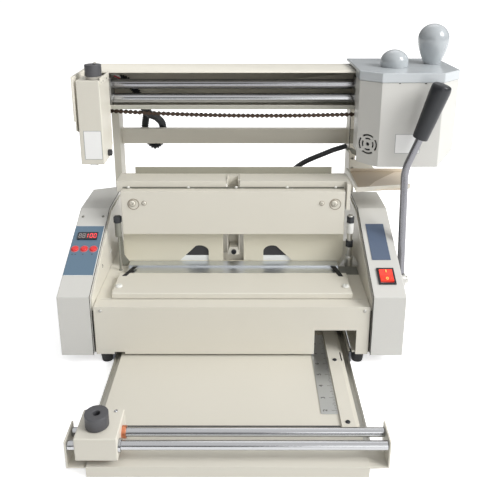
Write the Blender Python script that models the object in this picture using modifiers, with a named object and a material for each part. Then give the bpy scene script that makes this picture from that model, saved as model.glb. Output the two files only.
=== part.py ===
"""Thermal book binding machine on four feet, in metres, X right, Y back, Z up."""
import math
import bpy
import bmesh
from mathutils import Vector

# Clearances and small sheet values
GAP = 0.0003
SHEET = 0.002
OVERRUN = 0.004
TINY_BEVEL = 0.0006
SMALL_BEVEL = 0.001
MERGE = 0.00005

# Base, measured from the middle of the machine, the front of the housings and the table
HOUSING_OUTER_X = 0.2562
HOUSING_INNER_X = 0.2078
HOUSING_REAR_Y = 0.245
LEFT_REAR_OUTER_Y = 0.2554
LEFT_REAR_INNER_Y = 0.2738
HOUSING_BOTTOM_Z = 0.0195
HOUSING_FRONT_TOP_Z = 0.1175
SLOPE_REAR_Y = 0.1640
HOUSING_TOP_Z = 0.1918
FLOOR_X = 0.2075
FLOOR_Z = 0.0205
FLOOR_THICK = 0.003
FLOOR_FRONT_Y = 0.0072
BASE_REAR_Y = 0.312
FLOOR_NOTCH_REAR_Y = 0.066
SIDE_INSET = 0.006
FOOT_X = 0.1920
FOOT_FRONT_Y = 0.0200
FOOT_REAR_Y = 0.275
FOOT_HEIGHT = 0.0202
FOOT_TOP_RADIUS = 0.0105
FOOT_LOW_RADIUS = 0.0085
FOOT_STEP_Z = 0.0150

# Front panel, deck and platen
PANEL_X = 0.2045
PANEL_Y = 0.004
PANEL_BOTTOM_Z = 0.0192
PANEL_FOLD_Z = 0.0989
PANEL_FLANGE_Y = 0.0262
PANEL_NOTCH_X0 = 0.1235
PANEL_NOTCH_X1 = 0.1860
PANEL_NOTCH_Z = 0.060
PANEL_SMALL_X0 = -0.1775
PANEL_SMALL_X1 = -0.1615
PANEL_SMALL_Z = 0.0228
DECK_X = 0.2052
DECK_FRONT_Y = 0.0268
DECK_REAR_Y = 0.238
DECK_Z = 0.0989
DECK_SLOT_OUTER_X = 0.1800
DECK_SLOT_INNER_X = 0.1635
DECK_SLOT_FRONT_Y = 0.0985
DECK_SLOT_REAR_Y = 0.1330
DECK_SLOT_WIDTH = 0.0055
PLATEN_X = 0.1818
PLATEN_FRONT_Y = 0.0275
PLATEN_REAR_Y = 0.0930
PLATEN_TOP_Z = 0.1090
STRIP_X = 0.1722
STRIP_FRONT_Y = 0.0936
STRIP_STEP_Y = 0.1180
STRIP_REAR_Y = 0.1342
STRIP_LOW_Z = 0.1065
STRIP_TOP_Z = 0.1092

# Clamp
WALL_X = 0.1815
WALL_Y = 0.1358
WALL_BOTTOM_Z = 0.0992
WALL_CHAMFER_Z = 0.1215
WALL_CHAMFER_X = 0.1740
WALL_TOP_Z = 0.2300
WALL_SLOT_X = 0.0170
FIN_X0 = 0.0405
FIN_X1 = 0.0900
FIN_ARC_X = 0.0500
FIN_RADIUS = 0.0095
FIN_BOTTOM_Z = 0.1090
FIN_ARC_Z = 0.1275
FIN_ARC_END = math.radians(48)
RAIL_FRONT_Y = 0.1480
RAIL_REAR_Y = 0.2350
RAIL_TOP_Z = 0.1185
RAIL_LIP_Z = 0.0992
JAW_X = 0.1785
JAW_FRONT_Y = 0.1200
JAW_REAR_Y = 0.1335
JAW_BOTTOM_Z = 0.1640
JAW_TOP_Z = 0.2374
JAW_SHEET = 0.0025
REAR_JAW_X = 0.1880
REAR_JAW_Y = 0.1392
REAR_JAW_BACK_Y = 0.1800
REAR_JAW_FOOT_Z = 0.2304
REAR_JAW_TOP_Z = 0.2485
EAR_X = 0.1822
EAR_FRONT_Y = 0.1245
EAR_BOTTOM_Z = 0.2040
GUARD_X = 0.1640
GUARD_TOP_Z = 0.2600
PIN_RADIUS = 0.0030
PIN_REACH = 0.0048
PIN_DROP = 0.0010
PIN_X = (-0.1660, -0.0655, 0.0135, 0.0955, 0.1755)
BRACKET_X = 0.0104
BRACKET_NOTCH_X = 0.0108
BRACKET_FRONT_Y = 0.1416
BRACKET_BACK_Y = 0.1650
BRACKET_LOW_Z = 0.1188
BRACKET_TOP_Z = 0.2500
LUG_LOW_X = 0.0100
LUG_TOP_X = 0.0068
LUG_TOP_Z = 0.1320

# Side adjusters beside the clamp
ADJUSTER_LEFT_X = -0.1862
ADJUSTER_RIGHT_X = 0.1895
ADJUSTER_Y = 0.1220
ADJUSTER_PROFILE = (
    (0.0058, 0.1970),
    (0.0066, 0.1960),
    (0.0066, 0.1850),
    (0.0050, 0.1840),
    (0.0050, 0.1660),
    (0.0038, 0.1650),
    (0.0038, 0.1540),
    (0.0066, 0.1530),
    (0.0066, 0.1420),
    (0.0045, 0.1410),
    (0.0045, 0.1260),
    (0.0070, 0.1240),
    (0.0135, 0.0992),
)
ADJUSTER_SIDES = 20

# Upper frame
POST_INNER_X = 0.2065
POST_OUTER_X = 0.2190
POST_FRONT_Y = 0.2746
POST_REAR_Y = 0.3110
POST_BOTTOM_Z = 0.0238
POST_TOP_Z = 0.4100
CROSSBAR_FRONT_Y = 0.2940
CROSSBAR_REAR_Y = 0.3060
CROSSBAR_LOW_Z = 0.2680
CROSSBAR_TOP_Z = 0.2955
BEAM_X0 = -0.2400
BEAM_X1 = 0.3515
BEAM_FRONT_Y = 0.1900
BEAM_REAR_Y = 0.2742
BEAM_LOW_Z = 0.3555
BEAM_TOP_Z = 0.4180
BEAM_LIP_Z = 0.3620
BEAM_SHEET = 0.0025
END_FRONT_Y = 0.1200
END_LOW_Z = 0.3370
END_TOP_Z = 0.4210
END_THICK = 0.003
END_SLOPE_Y = 0.1500
END_SLOPE_Z = 0.3250
ROD_RADIUS = 0.008
ROD_Y = 0.2120
UPPER_ROD_Z = 0.3940
LOWER_ROD_Z = 0.3700
CHAIN_Y = 0.2120
CHAIN_END_Z = 0.3500
CHAIN_SAG = 0.0105
CHAIN_LINKS = 74
CHAIN_PLATE_HEIGHT = 0.0072
CHAIN_WAIST_SHARE = 0.62
CHAIN_ROLLER_SHARE = 0.3
CHAIN_HOLLOW = 0.0016
CHAIN_HALF_WIDTH = 0.0032
CHAIN_SIDE_STEP = 0.0006

# Conduit and cable
CONDUIT_POINTS = (
    (-0.1960, 0.2500, 0.3960),
    (-0.1860, 0.2560, 0.3920),
    (-0.1740, 0.2590, 0.3780),
    (-0.1640, 0.2590, 0.3620),
    (-0.1560, 0.2600, 0.3440),
    (-0.1460, 0.2740, 0.3280),
    (-0.1370, 0.3010, 0.3160),
    (-0.1330, 0.3190, 0.2980),
    (-0.1370, 0.3200, 0.2700),
    (-0.1500, 0.3200, 0.2570),
    (-0.1630, 0.3200, 0.2680),
    (-0.1680, 0.3200, 0.2900),
    (-0.1650, 0.3190, 0.3120),
    (-0.1590, 0.3130, 0.3360),
    (-0.1550, 0.3010, 0.3570),
    (-0.1545, 0.2910, 0.3690),
    (-0.1545, 0.2830, 0.3700),
    (-0.1545, 0.2752, 0.3700),
)
CONDUIT_RADIUS = 0.0060
CONDUIT_RIB = 0.0012
CONDUIT_PITCH = 0.0034
CONDUIT_BORE = 0.0042
CONDUIT_SIDES = 8
BORE_SKIP_COUNT = 4
CONDUIT_SLOT_X0 = -0.1780
CONDUIT_SLOT_X1 = -0.1450
CONDUIT_SLOT_FRONT_Y = 0.2480
CONDUIT_SLOT_REAR_Y = 0.2715
CABLE_POINTS = (
    (0.1995, 0.2700, 0.2745),
    (0.1850, 0.2690, 0.2735),
    (0.1600, 0.2640, 0.2680),
    (0.1350, 0.2540, 0.2590),
    (0.1100, 0.2470, 0.2450),
    (0.0880, 0.2450, 0.2230),
    (0.0740, 0.2460, 0.1900),
    (0.0680, 0.2480, 0.1400),
    (0.0650, 0.2500, 0.0900),
    (0.0650, 0.2520, 0.0450),
    (0.0650, 0.2520, 0.0240),
)
CABLE_RADIUS = 0.0036

# Drip tray under the parked glue unit
DRIP_X0 = 0.2000
DRIP_X1 = 0.2917
DRIP_REAR_X1 = 0.3020
DRIP_FRONT_Y = 0.1420
DRIP_CORNER_Y = 0.1590
DRIP_REAR_Y = 0.2440
DRIP_FLOOR_Z = 0.2285
DRIP_LIP_Z = 0.2365
DRIP_SHEET = 0.002
DRIP_ARM_X = 0.2040
DRIP_PLATE_GAP = 0.0004
DRIP_PLATE_TOP_Z = 0.2620
DRIP_PLATE_TOP_X = 0.2084
DRIP_PLATE_BEND_X = 0.2194
DRIP_PLATE_BEND_Z = 0.2430
DRIP_PLATE_TIP_X = 0.2510
DRIP_PLATE_TIP_Z = 0.2310
DRIP_PLATE_END_X = 0.2550
DRIP_PLATE_END_Z = 0.2258
DRIP_PLATE_LOW_Z = 0.2210
POST_HOLE_RADIUS = 0.0026
POST_HOLE_X = 0.2138
POST_HOLE_Z = (0.2460, 0.2274, 0.2154)
POST_HOLE_DEPTH = 0.006

# Milling head
MILL_X0 = -0.2365
MILL_X1 = -0.2005
MILL_FRONT_Y = 0.1200
MILL_BACK_Y = 0.1870
MILL_LOW_Z = 0.2825
MILL_TOP_Z = 0.4150
MILL_CHAMFER_Y = 0.1690
MILL_CHAMFER_TOP_Z = 0.4040
MILL_CHAMFER_LOW_Z = 0.2980
MILL_SHEET = 0.002
SLIDER_FRONT_Y = 0.1960
SLIDER_BACK_Y = 0.2280
SLIDER_LOW_Z = 0.3590
SLIDER_TOP_Z = 0.4060
SLIDER_NECK_FRONT_Y = 0.1250
SLIDER_NECK_LOW_Z = 0.3750
SLIDER_NECK_TOP_Z = 0.4000
MILL_KNOB_RADIUS = 0.0128
MILL_KNOB_HEIGHT = 0.0172
MILL_COLLAR_RADIUS = 0.0118
MILL_COLLAR_HEIGHT = 0.0048
MILL_KNOB_X = -0.2125
MILL_KNOB_Y = 0.1370
MILL_BORE_RADIUS = 0.0042
MILL_BORE_DEPTH = 0.008
CUTTER_Y = 0.1390
CUTTER_RADIUS = 0.0150
CUTTER_LOW_Z = 0.2800
CUTTER_DISC_TOP_Z = 0.2850
CUTTER_TEETH = 10
CUTTER_TOOTH = 0.0022
CUTTER_FACE_SHARE = 0.45
CUTTER_BACK_SHARE = 0.9
CUTTER_SHAFT_RADIUS = 0.0045
CUTTER_SHAFT_TOP_Z = SLIDER_NECK_LOW_Z - GAP

# Glue unit
GLUE_X0 = 0.1985
GLUE_X1 = 0.3560
GLUE_LEFT_X = 0.2290
GLUE_RIGHT_X = 0.3235
GLUE_FRONT_Y = 0.1300
GLUE_LEFT_Y = 0.1540
GLUE_RIGHT_Y = 0.1630
GLUE_BACK_Y = 0.1870
GLUE_LOW_Z = 0.2755
GLUE_TOP_Z = 0.4100
GLUE_SHEET = 0.002
CAP_REAR_Y = 0.2890
CAP_REAR_RIGHT_X = 0.3420
CAP_RIGHT_REAR_Y = 0.2700
CAP_TOP_Z = 0.4250
CAP_LOW_Z = 0.4103
CAP_LIFT_Z = 0.4215
CAP_OVER = 0.0008
CAP_BACK_SHEET_Y = 0.1864
GLUE_CHAMFER_LOW_Z = 0.2950
VENT_RADII = (0.0092, 0.0150)
VENT_SLOT = 0.0028
VENT_Z = 0.3098
VENT_WEB = 0.0050
VENT_HUB = 0.0032
DOME_X = 0.2605
DOME_Y = 0.1970
DOME_RADIUS = 0.0222
DOME_HEIGHT = 0.0268
DOME_FOOT_SHARE = 0.96
DOME_LOW_SHARE = 0.28
EGG_X = 0.3305
EGG_Y = 0.2300
EGG_RADIUS = 0.0250
EGG_HEIGHT = 0.0648
EGG_FOOT_RADIUS = 0.0130
EGG_LOW_SHARE = 0.62
GLUE_SLIDER_X0 = 0.2000
GLUE_SLIDER_X1 = 0.3400
TANK_X0 = 0.2150
TANK_X1 = 0.3300
TANK_FRONT_Y = 0.1660
TANK_BACK_Y = 0.1840
ROLLER_X = 0.2750
ROLLER_Z = 0.3020
ROLLER_RADIUS = 0.0290
ROLLER_FRONT_Y = 0.1350
ROLLER_BACK_Y = 0.1640
ROLLER_SHAFT_RADIUS = 0.0050
SPROCKET_FRONT_Y = 0.2080
SPROCKET_BACK_Y = 0.2160
SPROCKET_TEETH = 25
SPROCKET_RADIUS = 0.0335
SPROCKET_ROOT = 0.0294
SPROCKET_TIP_SHARES = (0.0, 0.2)
SPROCKET_ROOT_SHARES = (0.4, 0.8)

# Clamp lever
LEVER_HUB_X0 = 0.2566
LEVER_HUB_X1 = 0.2745
LEVER_PIVOT_Y = 0.0880
LEVER_PIVOT_Z = 0.1000
LEVER_HUB_RADIUS = 0.0110
LEVER_BOLT_RADIUS = 0.0060
LEVER_BOLT_REACH = 0.0050
LEVER_ROD_RADIUS = 0.0058
LEVER_X = 0.2680
LEVER_BEND_Y = 0.1113
LEVER_BEND_Z = 0.2766
LEVER_GRIP_FOOT = (0.2860, 0.1060, 0.3289)
LEVER_GRIP_HEAD = (0.3112, 0.0980, 0.4136)
LEVER_BEND_REACH = 0.0154
GRIP_LOW_RADIUS = 0.0118
GRIP_TOP_RADIUS = 0.0150
GRIP_EDGE = 0.0022
GRIP_WALL = 0.0010
GRIP_BORE_DEPTH = 0.0300

# Tray and its drawer slides
TRAY_X = 0.1676
TRAY_FRONT_Y = -0.2150
TRAY_REAR_Y = 0.1050
TRAY_TOP_Z = 0.0155
TRAY_LOW_Z = 0.0012
TRAY_SHEET = 0.0016
RULER_X0 = 0.1205
RULER_X1 = 0.1425
RULER_FRONT_Y = -0.1240
RULER_REAR_Y = 0.0600
RULER_THICK = 0.0008
GUIDE_X0 = 0.1440
GUIDE_X1 = 0.1625
GUIDE_FRONT_Y = -0.1560
GUIDE_REAR_Y = 0.0700
GUIDE_THICK = 0.0026
GUIDE_CORNER = 0.0040
SLIDE_X0 = TRAY_X + GAP
SLIDE_X1 = 0.1765
SLIDE_LOW_Z = 0.0040
SLIDE_TOP_Z = 0.0150
SLIDE_FRONT_Y = -0.1745
SLIDE_REAR_Y = 0.1050
SLIDE_GROOVE = 0.0016
RAIL_INNER_X = SLIDE_X1 + GAP
RAIL_THICK = 0.0022
RAIL_DROP_Z = 0.0050
RAIL_INSET_Y = 0.0030

# Creasing unit across the front of the tray
CREASER_X = 0.1915
CREASER_SHEET = 0.002
CREASER_FRONT_Y = -0.2140
CREASER_REAR_Y = -0.1760
CREASER_FLOOR_Z = 0.0112
CREASER_TOP_Z = 0.0488
CREASER_ROD_RADIUS = 0.0056
CREASER_ROD_Z = 0.0390
CREASER_FRONT_ROD_Y = -0.2060
CREASER_REAR_ROD_Y = -0.1840
BLOCK_X0 = -0.1790
BLOCK_X1 = -0.1285
BLOCK_FRONT_Y = -0.2160
BLOCK_REAR_Y = -0.1640
BLOCK_LOW_Z = 0.0250
BLOCK_TOP_Z = 0.0560
BLOCK_SHEET = 0.0022
BLOCK_HOLE_GAP = 0.0006
BUSH_RADIUS = 0.0076
BUSH_X1 = -0.1235
KNOB_X = -0.1560
KNOB_Y = -0.1925
KNOB_RADIUS = 0.0143
KNOB_LOW_Z = 0.0564
KNOB_HEIGHT = 0.0165
KNOB_BORE_RADIUS = 0.0045
KNOB_BORE_DEPTH = 0.0110
KNOB_EDGE = 0.0010
WHEEL_X = -0.1530
WHEEL_RADIUS = 0.0110
WHEEL_Z = 0.0270
WHEEL_FRONT_Y = -0.1750
WHEEL_BACK_Y = -0.1685
WHEEL_EDGE = 0.0014
WHEEL_PIN_RADIUS = 0.0020

# Controls on the sloping faces
PLATE_THICK = 0.0008
PANEL_LEFT_X0 = -0.2550
PANEL_LEFT_X1 = -0.2095
PANEL_LEFT_LOW = 0.0396
PANEL_LEFT_HIGH = 0.1390
DISPLAY_X0 = -0.2478
DISPLAY_X1 = -0.2163
DISPLAY_LOW = 0.1097
DISPLAY_HIGH = 0.1241
DISPLAY_THICK = 0.0016
BUTTON_X = (-0.2473, -0.2329, -0.2184)
BUTTON_ALONG = 0.0909
BUTTON_RADIUS = 0.0052
BUTTON_HEIGHT = 0.0034
BUTTON_TRAVEL = 0.0012
BUTTON_WELL_GAP = 0.0005
BUTTON_WELL_DEPTH = 0.0034
BUTTON_EDGE = 0.0008
INFO_X0 = 0.2157
INFO_X1 = 0.2445
INFO_LOW = 0.0694
INFO_HIGH = 0.1441
BEZEL_X0 = 0.2191
BEZEL_X1 = 0.2449
BEZEL_LOW = 0.0227
BEZEL_HIGH = 0.0527
BEZEL_THICK = 0.0022
BEZEL_RIM = 0.0026
BEZEL_DEPTH = 0.0060
ROCKER_GAP = 0.0004
ROCKER_DEPTH = 0.0040
ROCKER_RISE = 0.0036
ROCKER_TILT = 9.0

# Numbers of sides and steps
ROUND_SIDES = 24
SMALL_SIDES = 16
TUBE_SEGMENTS = 4
FULL_TURN = 2 * math.pi
SLOPE_ANGLE = math.atan2(HOUSING_TOP_Z - HOUSING_FRONT_TOP_Z, SLOPE_REAR_Y)

# The origin of the part lies at the middle of its box, on the table
SPAN_X0 = -HOUSING_OUTER_X
SPAN_X1 = GLUE_X1 + CAP_OVER
ORIGIN = Vector((-(SPAN_X0 + SPAN_X1) / 2, -(BLOCK_FRONT_Y + BASE_REAR_Y) / 2, 0))


def clear_scene():
    """Start from an empty file."""
    for item in list(bpy.data.objects):
        bpy.data.objects.remove(item, do_unlink=True)


def collection_named(name):
    """Return a new collection in the scene."""
    group = bpy.data.collections.new(name)
    bpy.context.scene.collection.children.link(group)
    return group


clear_scene()
PARTS = collection_named("thermal_binding_machine")
CUTTERS = collection_named("cutters")
ROOT = bpy.data.objects.new("machine_datum", None)
PARTS.objects.link(ROOT)


def material(name, color, roughness, metallic=0.0):
    """Return a plain Principled material."""
    found = bpy.data.materials.get(name)
    if found:
        return found
    made = bpy.data.materials.new(name)
    made.use_nodes = True
    shader = made.node_tree.nodes["Principled BSDF"]
    shader.inputs["Base Color"].default_value = (*color, 1.0)
    shader.inputs["Roughness"].default_value = roughness
    shader.inputs["Metallic"].default_value = metallic
    return made


IVORY = ("ivory_enamel", (0.66, 0.63, 0.55), 0.42, 0.0)
GREY = ("grey_enamel", (0.60, 0.59, 0.55), 0.42, 0.0)
COOL = ("cool_grey_plastic", (0.48, 0.53, 0.56), 0.30, 0.0)
STEEL = ("polished_steel", (0.72, 0.72, 0.72), 0.18, 1.0)
ZINC = ("zinc_plate", (0.55, 0.55, 0.53), 0.38, 1.0)
ALUMINIUM = ("aluminium_strip", (0.70, 0.72, 0.74), 0.32, 1.0)
BLACK = ("black_plastic", (0.015, 0.017, 0.022), 0.42, 0.0)
CHARCOAL = ("charcoal_knob", (0.07, 0.07, 0.075), 0.48, 0.0)
RUBBER = ("black_rubber", (0.02, 0.02, 0.02), 0.75, 0.0)
CHAIN = ("oiled_chain", (0.09, 0.07, 0.055), 0.45, 1.0)
BLUE = ("blue_grey_film", (0.11, 0.19, 0.27), 0.45, 0.0)
SMOKE = ("display_window", (0.04, 0.01, 0.01), 0.12, 0.0)
RED = ("red_button", (0.65, 0.03, 0.04), 0.35, 0.0)
ROCKER_RED = ("red_rocker", (0.85, 0.06, 0.02), 0.25, 0.0)
COPPER = ("copper_bush", (0.62, 0.25, 0.13), 0.35, 1.0)


def place(item, parent=None):
    """Parent an object without moving it."""
    bpy.context.view_layer.update()
    world = item.matrix_world.copy()
    item.parent = parent or ROOT
    item.matrix_parent_inverse = (parent or ROOT).matrix_world.inverted()
    item.matrix_world = world


def node(name, mesh, at, coat):
    """Add one named piece with its own material."""
    item = bpy.data.objects.new(name, mesh)
    PARTS.objects.link(item)
    item.location = at
    mesh.materials.clear()
    mesh.materials.append(material(*coat))
    return item


def cutter(name, mesh, at):
    """Add one tool body that is used for cutting or joining."""
    item = bpy.data.objects.new(name, mesh)
    CUTTERS.objects.link(item)
    item.location = at
    item.hide_render = True
    item.display_type = "WIRE"
    return item


def boolean(target, tool, operation="DIFFERENCE"):
    """Cut a tool body from a piece, or join it on."""
    step = target.modifiers.new(tool.name, "BOOLEAN")
    step.operation = operation
    step.solver = "EXACT"
    step.object = tool
    return step


def bevel(item, width, segments=1, angle=math.radians(40)):
    """Round the sharp edges of a piece."""
    step = item.modifiers.new("edge_round", "BEVEL")
    step.width = width
    step.segments = segments
    step.limit_method = "ANGLE"
    step.angle_limit = angle
    step.use_clamp_overlap = True
    return step


def block_mesh(name, size):
    """Return a cuboid mesh centred on its origin."""
    mesh = bpy.data.meshes.new(name)
    shape = bmesh.new()
    bmesh.ops.create_cube(shape, size=1.0)
    for corner in shape.verts:
        corner.co.x *= size[0]
        corner.co.y *= size[1]
        corner.co.z *= size[2]
    shape.to_mesh(mesh)
    shape.free()
    return mesh


def span(x0, x1, y0, y1, z0, z1):
    """Return the size and middle of a box given by its planes."""
    size = (x1 - x0, y1 - y0, z1 - z0)
    middle = ((x0 + x1) / 2, (y0 + y1) / 2, (z0 + z1) / 2)
    return size, middle


def block(name, planes, coat):
    """Add a cuboid piece."""
    size, middle = span(*planes)
    return node(name, block_mesh(name, size), middle, coat)


def block_tool(name, planes):
    """Add a cuboid tool body."""
    size, middle = span(*planes)
    return cutter(name, block_mesh(name, size), middle)


def face_outward(shape):
    """Turn every face of a closed shape to its outer side."""
    bmesh.ops.recalc_face_normals(shape, faces=shape.faces)
    if shape.calc_volume(signed=True) < 0:
        bmesh.ops.reverse_faces(shape, faces=shape.faces)


def flat_mesh(name, outlines, depth):
    """Return a flat shape, drawn in X and Y and centred in Z, as a mesh."""
    curve = bpy.data.curves.new(name, "CURVE")
    curve.dimensions = "2D"
    curve.fill_mode = "BOTH"
    curve.extrude = depth / 2
    for outline in outlines:
        spline = curve.splines.new("POLY")
        spline.points.add(len(outline) - 1)
        for point, (across, along) in zip(spline.points, outline):
            point.co = (across, along, 0, 1)
        spline.use_cyclic_u = True
    holder = bpy.data.objects.new(name + "_curve", curve)
    CUTTERS.objects.link(holder)
    graph = bpy.context.evaluated_depsgraph_get()
    mesh = bpy.data.meshes.new_from_object(holder.evaluated_get(graph))
    bpy.data.objects.remove(holder, do_unlink=True)
    shape = bmesh.new()
    shape.from_mesh(mesh)
    bmesh.ops.remove_doubles(shape, verts=shape.verts, dist=MERGE)
    face_outward(shape)
    shape.to_mesh(mesh)
    shape.free()
    mesh.name = name
    return mesh


def turn_mesh(mesh, axes):
    """Reorder the axes of a mesh and keep its faces outward."""
    shape = bmesh.new()
    shape.from_mesh(mesh)
    for corner in shape.verts:
        corner.co = Vector([corner.co[number] for number in axes])
    face_outward(shape)
    shape.to_mesh(mesh)
    shape.free()
    return mesh


def prism_mesh(name, axis, outline, start, end, holes=()):
    """Return an extruded outline: YZ along X, XZ along Y or XY along Z."""
    mesh = flat_mesh(name, [outline, *holes], end - start)
    order = {"X": (2, 0, 1), "Y": (0, 2, 1), "Z": (0, 1, 2)}[axis]
    return turn_mesh(mesh, order)


def prism_place(axis, start, end):
    """Return where an extruded outline stands."""
    middle = (start + end) / 2
    return {"X": (middle, 0, 0), "Y": (0, middle, 0), "Z": (0, 0, middle)}[axis]


def prism(name, axis, outline, start, end, coat, holes=()):
    """Add an extruded piece."""
    mesh = prism_mesh(name, axis, outline, start, end, holes)
    return node(name, mesh, prism_place(axis, start, end), coat)


def prism_tool(name, axis, outline, start, end):
    """Add an extruded tool body."""
    mesh = prism_mesh(name, axis, outline, start, end)
    return cutter(name, mesh, prism_place(axis, start, end))


def circle(radius, sides):
    """Return the corners of a regular outline about its own middle."""
    angles = [FULL_TURN * step / sides for step in range(sides)]
    return [(radius * math.cos(angle), radius * math.sin(angle)) for angle in angles]


def smooth(mesh, angle=math.radians(35)):
    """Shade round faces smooth and keep real edges sharp."""
    mesh.shade_smooth()
    mesh.set_sharp_from_angle(angle=angle)
    return mesh


def revolved_mesh(name, profile, sides):
    """Turn a profile of radius and height, from top to bottom, about Z."""
    shape = bmesh.new()
    rings = []
    for radius, height in profile:
        ring = []
        for step in range(sides):
            angle = FULL_TURN * step / sides
            across = radius * math.cos(angle)
            along = radius * math.sin(angle)
            ring.append(shape.verts.new((across, along, height)))
        rings.append(ring)
    for upper, lower in zip(rings, rings[1:]):
        for step in range(sides):
            after = (step + 1) % sides
            corners = (upper[step], lower[step], lower[after], upper[after])
            shape.faces.new(corners)
    shape.faces.new(rings[0])
    shape.faces.new(list(reversed(rings[-1])))
    face_outward(shape)
    mesh = bpy.data.meshes.new(name)
    shape.to_mesh(mesh)
    shape.free()
    return smooth(mesh)


def revolved(name, profile, at, coat, sides=ROUND_SIDES, axis="Z"):
    """Add a turned piece with its axis along X, Y or Z."""
    mesh = revolved_mesh(name, profile, sides)
    order = {"X": (2, 1, 0), "Y": (0, 2, 1), "Z": (0, 1, 2)}[axis]
    return node(name, smooth(turn_mesh(mesh, order)), at, coat)


def revolved_tool(name, profile, at, sides=ROUND_SIDES, axis="Z"):
    """Add a turned tool body."""
    mesh = revolved_mesh(name, profile, sides)
    order = {"X": (2, 1, 0), "Y": (0, 2, 1), "Z": (0, 1, 2)}[axis]
    return cutter(name, smooth(turn_mesh(mesh, order)), at)


def bar_profile(radius, start, end, edge=0.0):
    """Return the profile of a round bar with bevelled ends."""
    if not edge:
        return ((radius, end), (radius, start))
    top = ((radius - edge, end), (radius, end - edge))
    return (*top, (radius, start + edge), (radius - edge, start))


def tube_mesh(name, points, radii, detail):
    """Return a tube along points as one closed body."""
    curve = bpy.data.curves.new(name, "CURVE")
    curve.dimensions = "3D"
    curve.bevel_depth = 1.0
    curve.bevel_resolution = detail
    curve.use_fill_caps = True
    spline = curve.splines.new("POLY")
    spline.points.add(len(points) - 1)
    for point, spot, radius in zip(spline.points, points, radii):
        point.co = (*spot, 1)
        point.radius = radius
    holder = bpy.data.objects.new(name + "_curve", curve)
    CUTTERS.objects.link(holder)
    graph = bpy.context.evaluated_depsgraph_get()
    mesh = bpy.data.meshes.new_from_object(holder.evaluated_get(graph))
    bpy.data.objects.remove(holder, do_unlink=True)
    shape = bmesh.new()
    shape.from_mesh(mesh)
    bmesh.ops.remove_doubles(shape, verts=shape.verts, dist=MERGE)
    face_outward(shape)
    shape.to_mesh(mesh)
    shape.free()
    mesh.name = name
    return smooth(mesh, math.radians(60))


def smooth_route(points, spacing):
    """Return points at even distances along a smooth curve through the given ones."""
    dense = []
    spots = [Vector(point) for point in points]
    for index in range(len(spots) - 1):
        before = spots[max(index - 1, 0)]
        start, end = spots[index], spots[index + 1]
        after = spots[min(index + 2, len(spots) - 1)]
        for step in range(ROUND_SIDES):
            part = step / ROUND_SIDES
            first = 2 * start + (end - before) * part
            second = (2 * before - 5 * start + 4 * end - after) * part**2
            third = (3 * start - before - 3 * end + after) * part**3
            dense.append((first + second + third) / 2)
    dense.append(spots[-1])
    lengths = [(b - a).length for a, b in zip(dense, dense[1:])]
    count = max(2, round(sum(lengths) / spacing))
    step_length = sum(lengths) / count
    route = [dense[0]]
    travelled = 0
    for a, b, length in zip(dense, dense[1:], lengths):
        while len(route) <= count and travelled + length >= step_length * len(route):
            part = (step_length * len(route) - travelled) / length
            route.append(a.lerp(b, part))
        travelled += length
    if len(route) <= count:
        route.append(dense[-1])
    return route


def housing_outline(inset=0.0, low=HOUSING_BOTTOM_Z, rear=HOUSING_REAR_Y):
    """Return the side view of a housing, drawn in Y and Z."""
    top = HOUSING_TOP_Z - inset
    lean = inset * math.tan(SLOPE_ANGLE / 2)
    return [
        (inset, low),
        (rear, low),
        (rear, top),
        (SLOPE_REAR_Y + lean, top),
        (inset, HOUSING_FRONT_TOP_Z - inset + lean),
    ]


def build_base_frame():
    """The floor with its two upright side plates."""
    low = FLOOR_Z
    outline = [
        (FLOOR_FRONT_Y, low),
        (BASE_REAR_Y, low),
        (BASE_REAR_Y, HOUSING_FRONT_TOP_Z),
        (HOUSING_REAR_Y, HOUSING_TOP_Z - SIDE_INSET),
        (SLOPE_REAR_Y, HOUSING_TOP_Z - SIDE_INSET),
        (FLOOR_FRONT_Y, HOUSING_FRONT_TOP_Z - SIDE_INSET),
    ]
    frame = prism("base_frame", "X", outline, -FLOOR_X, FLOOR_X, IVORY)
    inner = FLOOR_X - SHEET
    floor_top = FLOOR_Z + FLOOR_THICK
    planes = (-inner, inner, -OVERRUN, BASE_REAR_Y + OVERRUN, floor_top, HOUSING_TOP_Z)
    boolean(frame, block_tool("frame_hollow", planes))
    notch_x1 = FOOT_X - FOOT_TOP_RADIUS
    planes = (PANEL_NOTCH_X0, notch_x1, -OVERRUN, FLOOR_NOTCH_REAR_Y, 0, floor_top + SHEET)
    boolean(frame, block_tool("frame_notch", planes))
    post_front, rear = POST_FRONT_Y - GAP, BASE_REAR_Y + OVERRUN
    planes = (-HOUSING_OUTER_X, HOUSING_OUTER_X, post_front, rear, floor_top, HOUSING_TOP_Z)
    boolean(frame, block_tool("frame_rear_corners", planes))
    for side in (-1, 1):
        near, far = sorted((side * RAIL_INNER_X, side * (RAIL_INNER_X + RAIL_THICK)))
        front, back = FLOOR_FRONT_Y + RAIL_INSET_Y, BASE_REAR_Y - RAIL_INSET_Y
        planes = (near, far, front, back, RAIL_DROP_Z, FLOOR_Z + GAP)
        name = "drawer_rail_left" if side < 0 else "drawer_rail_right"
        boolean(frame, block_tool(name, planes), "UNION")
    return frame


def left_rear_tool(name, shift=0.0):
    """Add the wedge that gives the left housing its slanted back."""
    lean = (LEFT_REAR_INNER_Y - LEFT_REAR_OUTER_Y) / (HOUSING_OUTER_X - HOUSING_INNER_X)
    near, far = -HOUSING_OUTER_X - OVERRUN, -HOUSING_INNER_X + OVERRUN
    back = LEFT_REAR_INNER_Y + OVERRUN * 4
    outline = [
        (near, LEFT_REAR_OUTER_Y - lean * OVERRUN - shift),
        (far, LEFT_REAR_INNER_Y + lean * OVERRUN - shift),
        (far, back),
        (near, back),
    ]
    low, high = HOUSING_BOTTOM_Z - OVERRUN * 2, HOUSING_TOP_Z + OVERRUN
    return prism_tool(name, "Z", outline, low, high)


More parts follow.
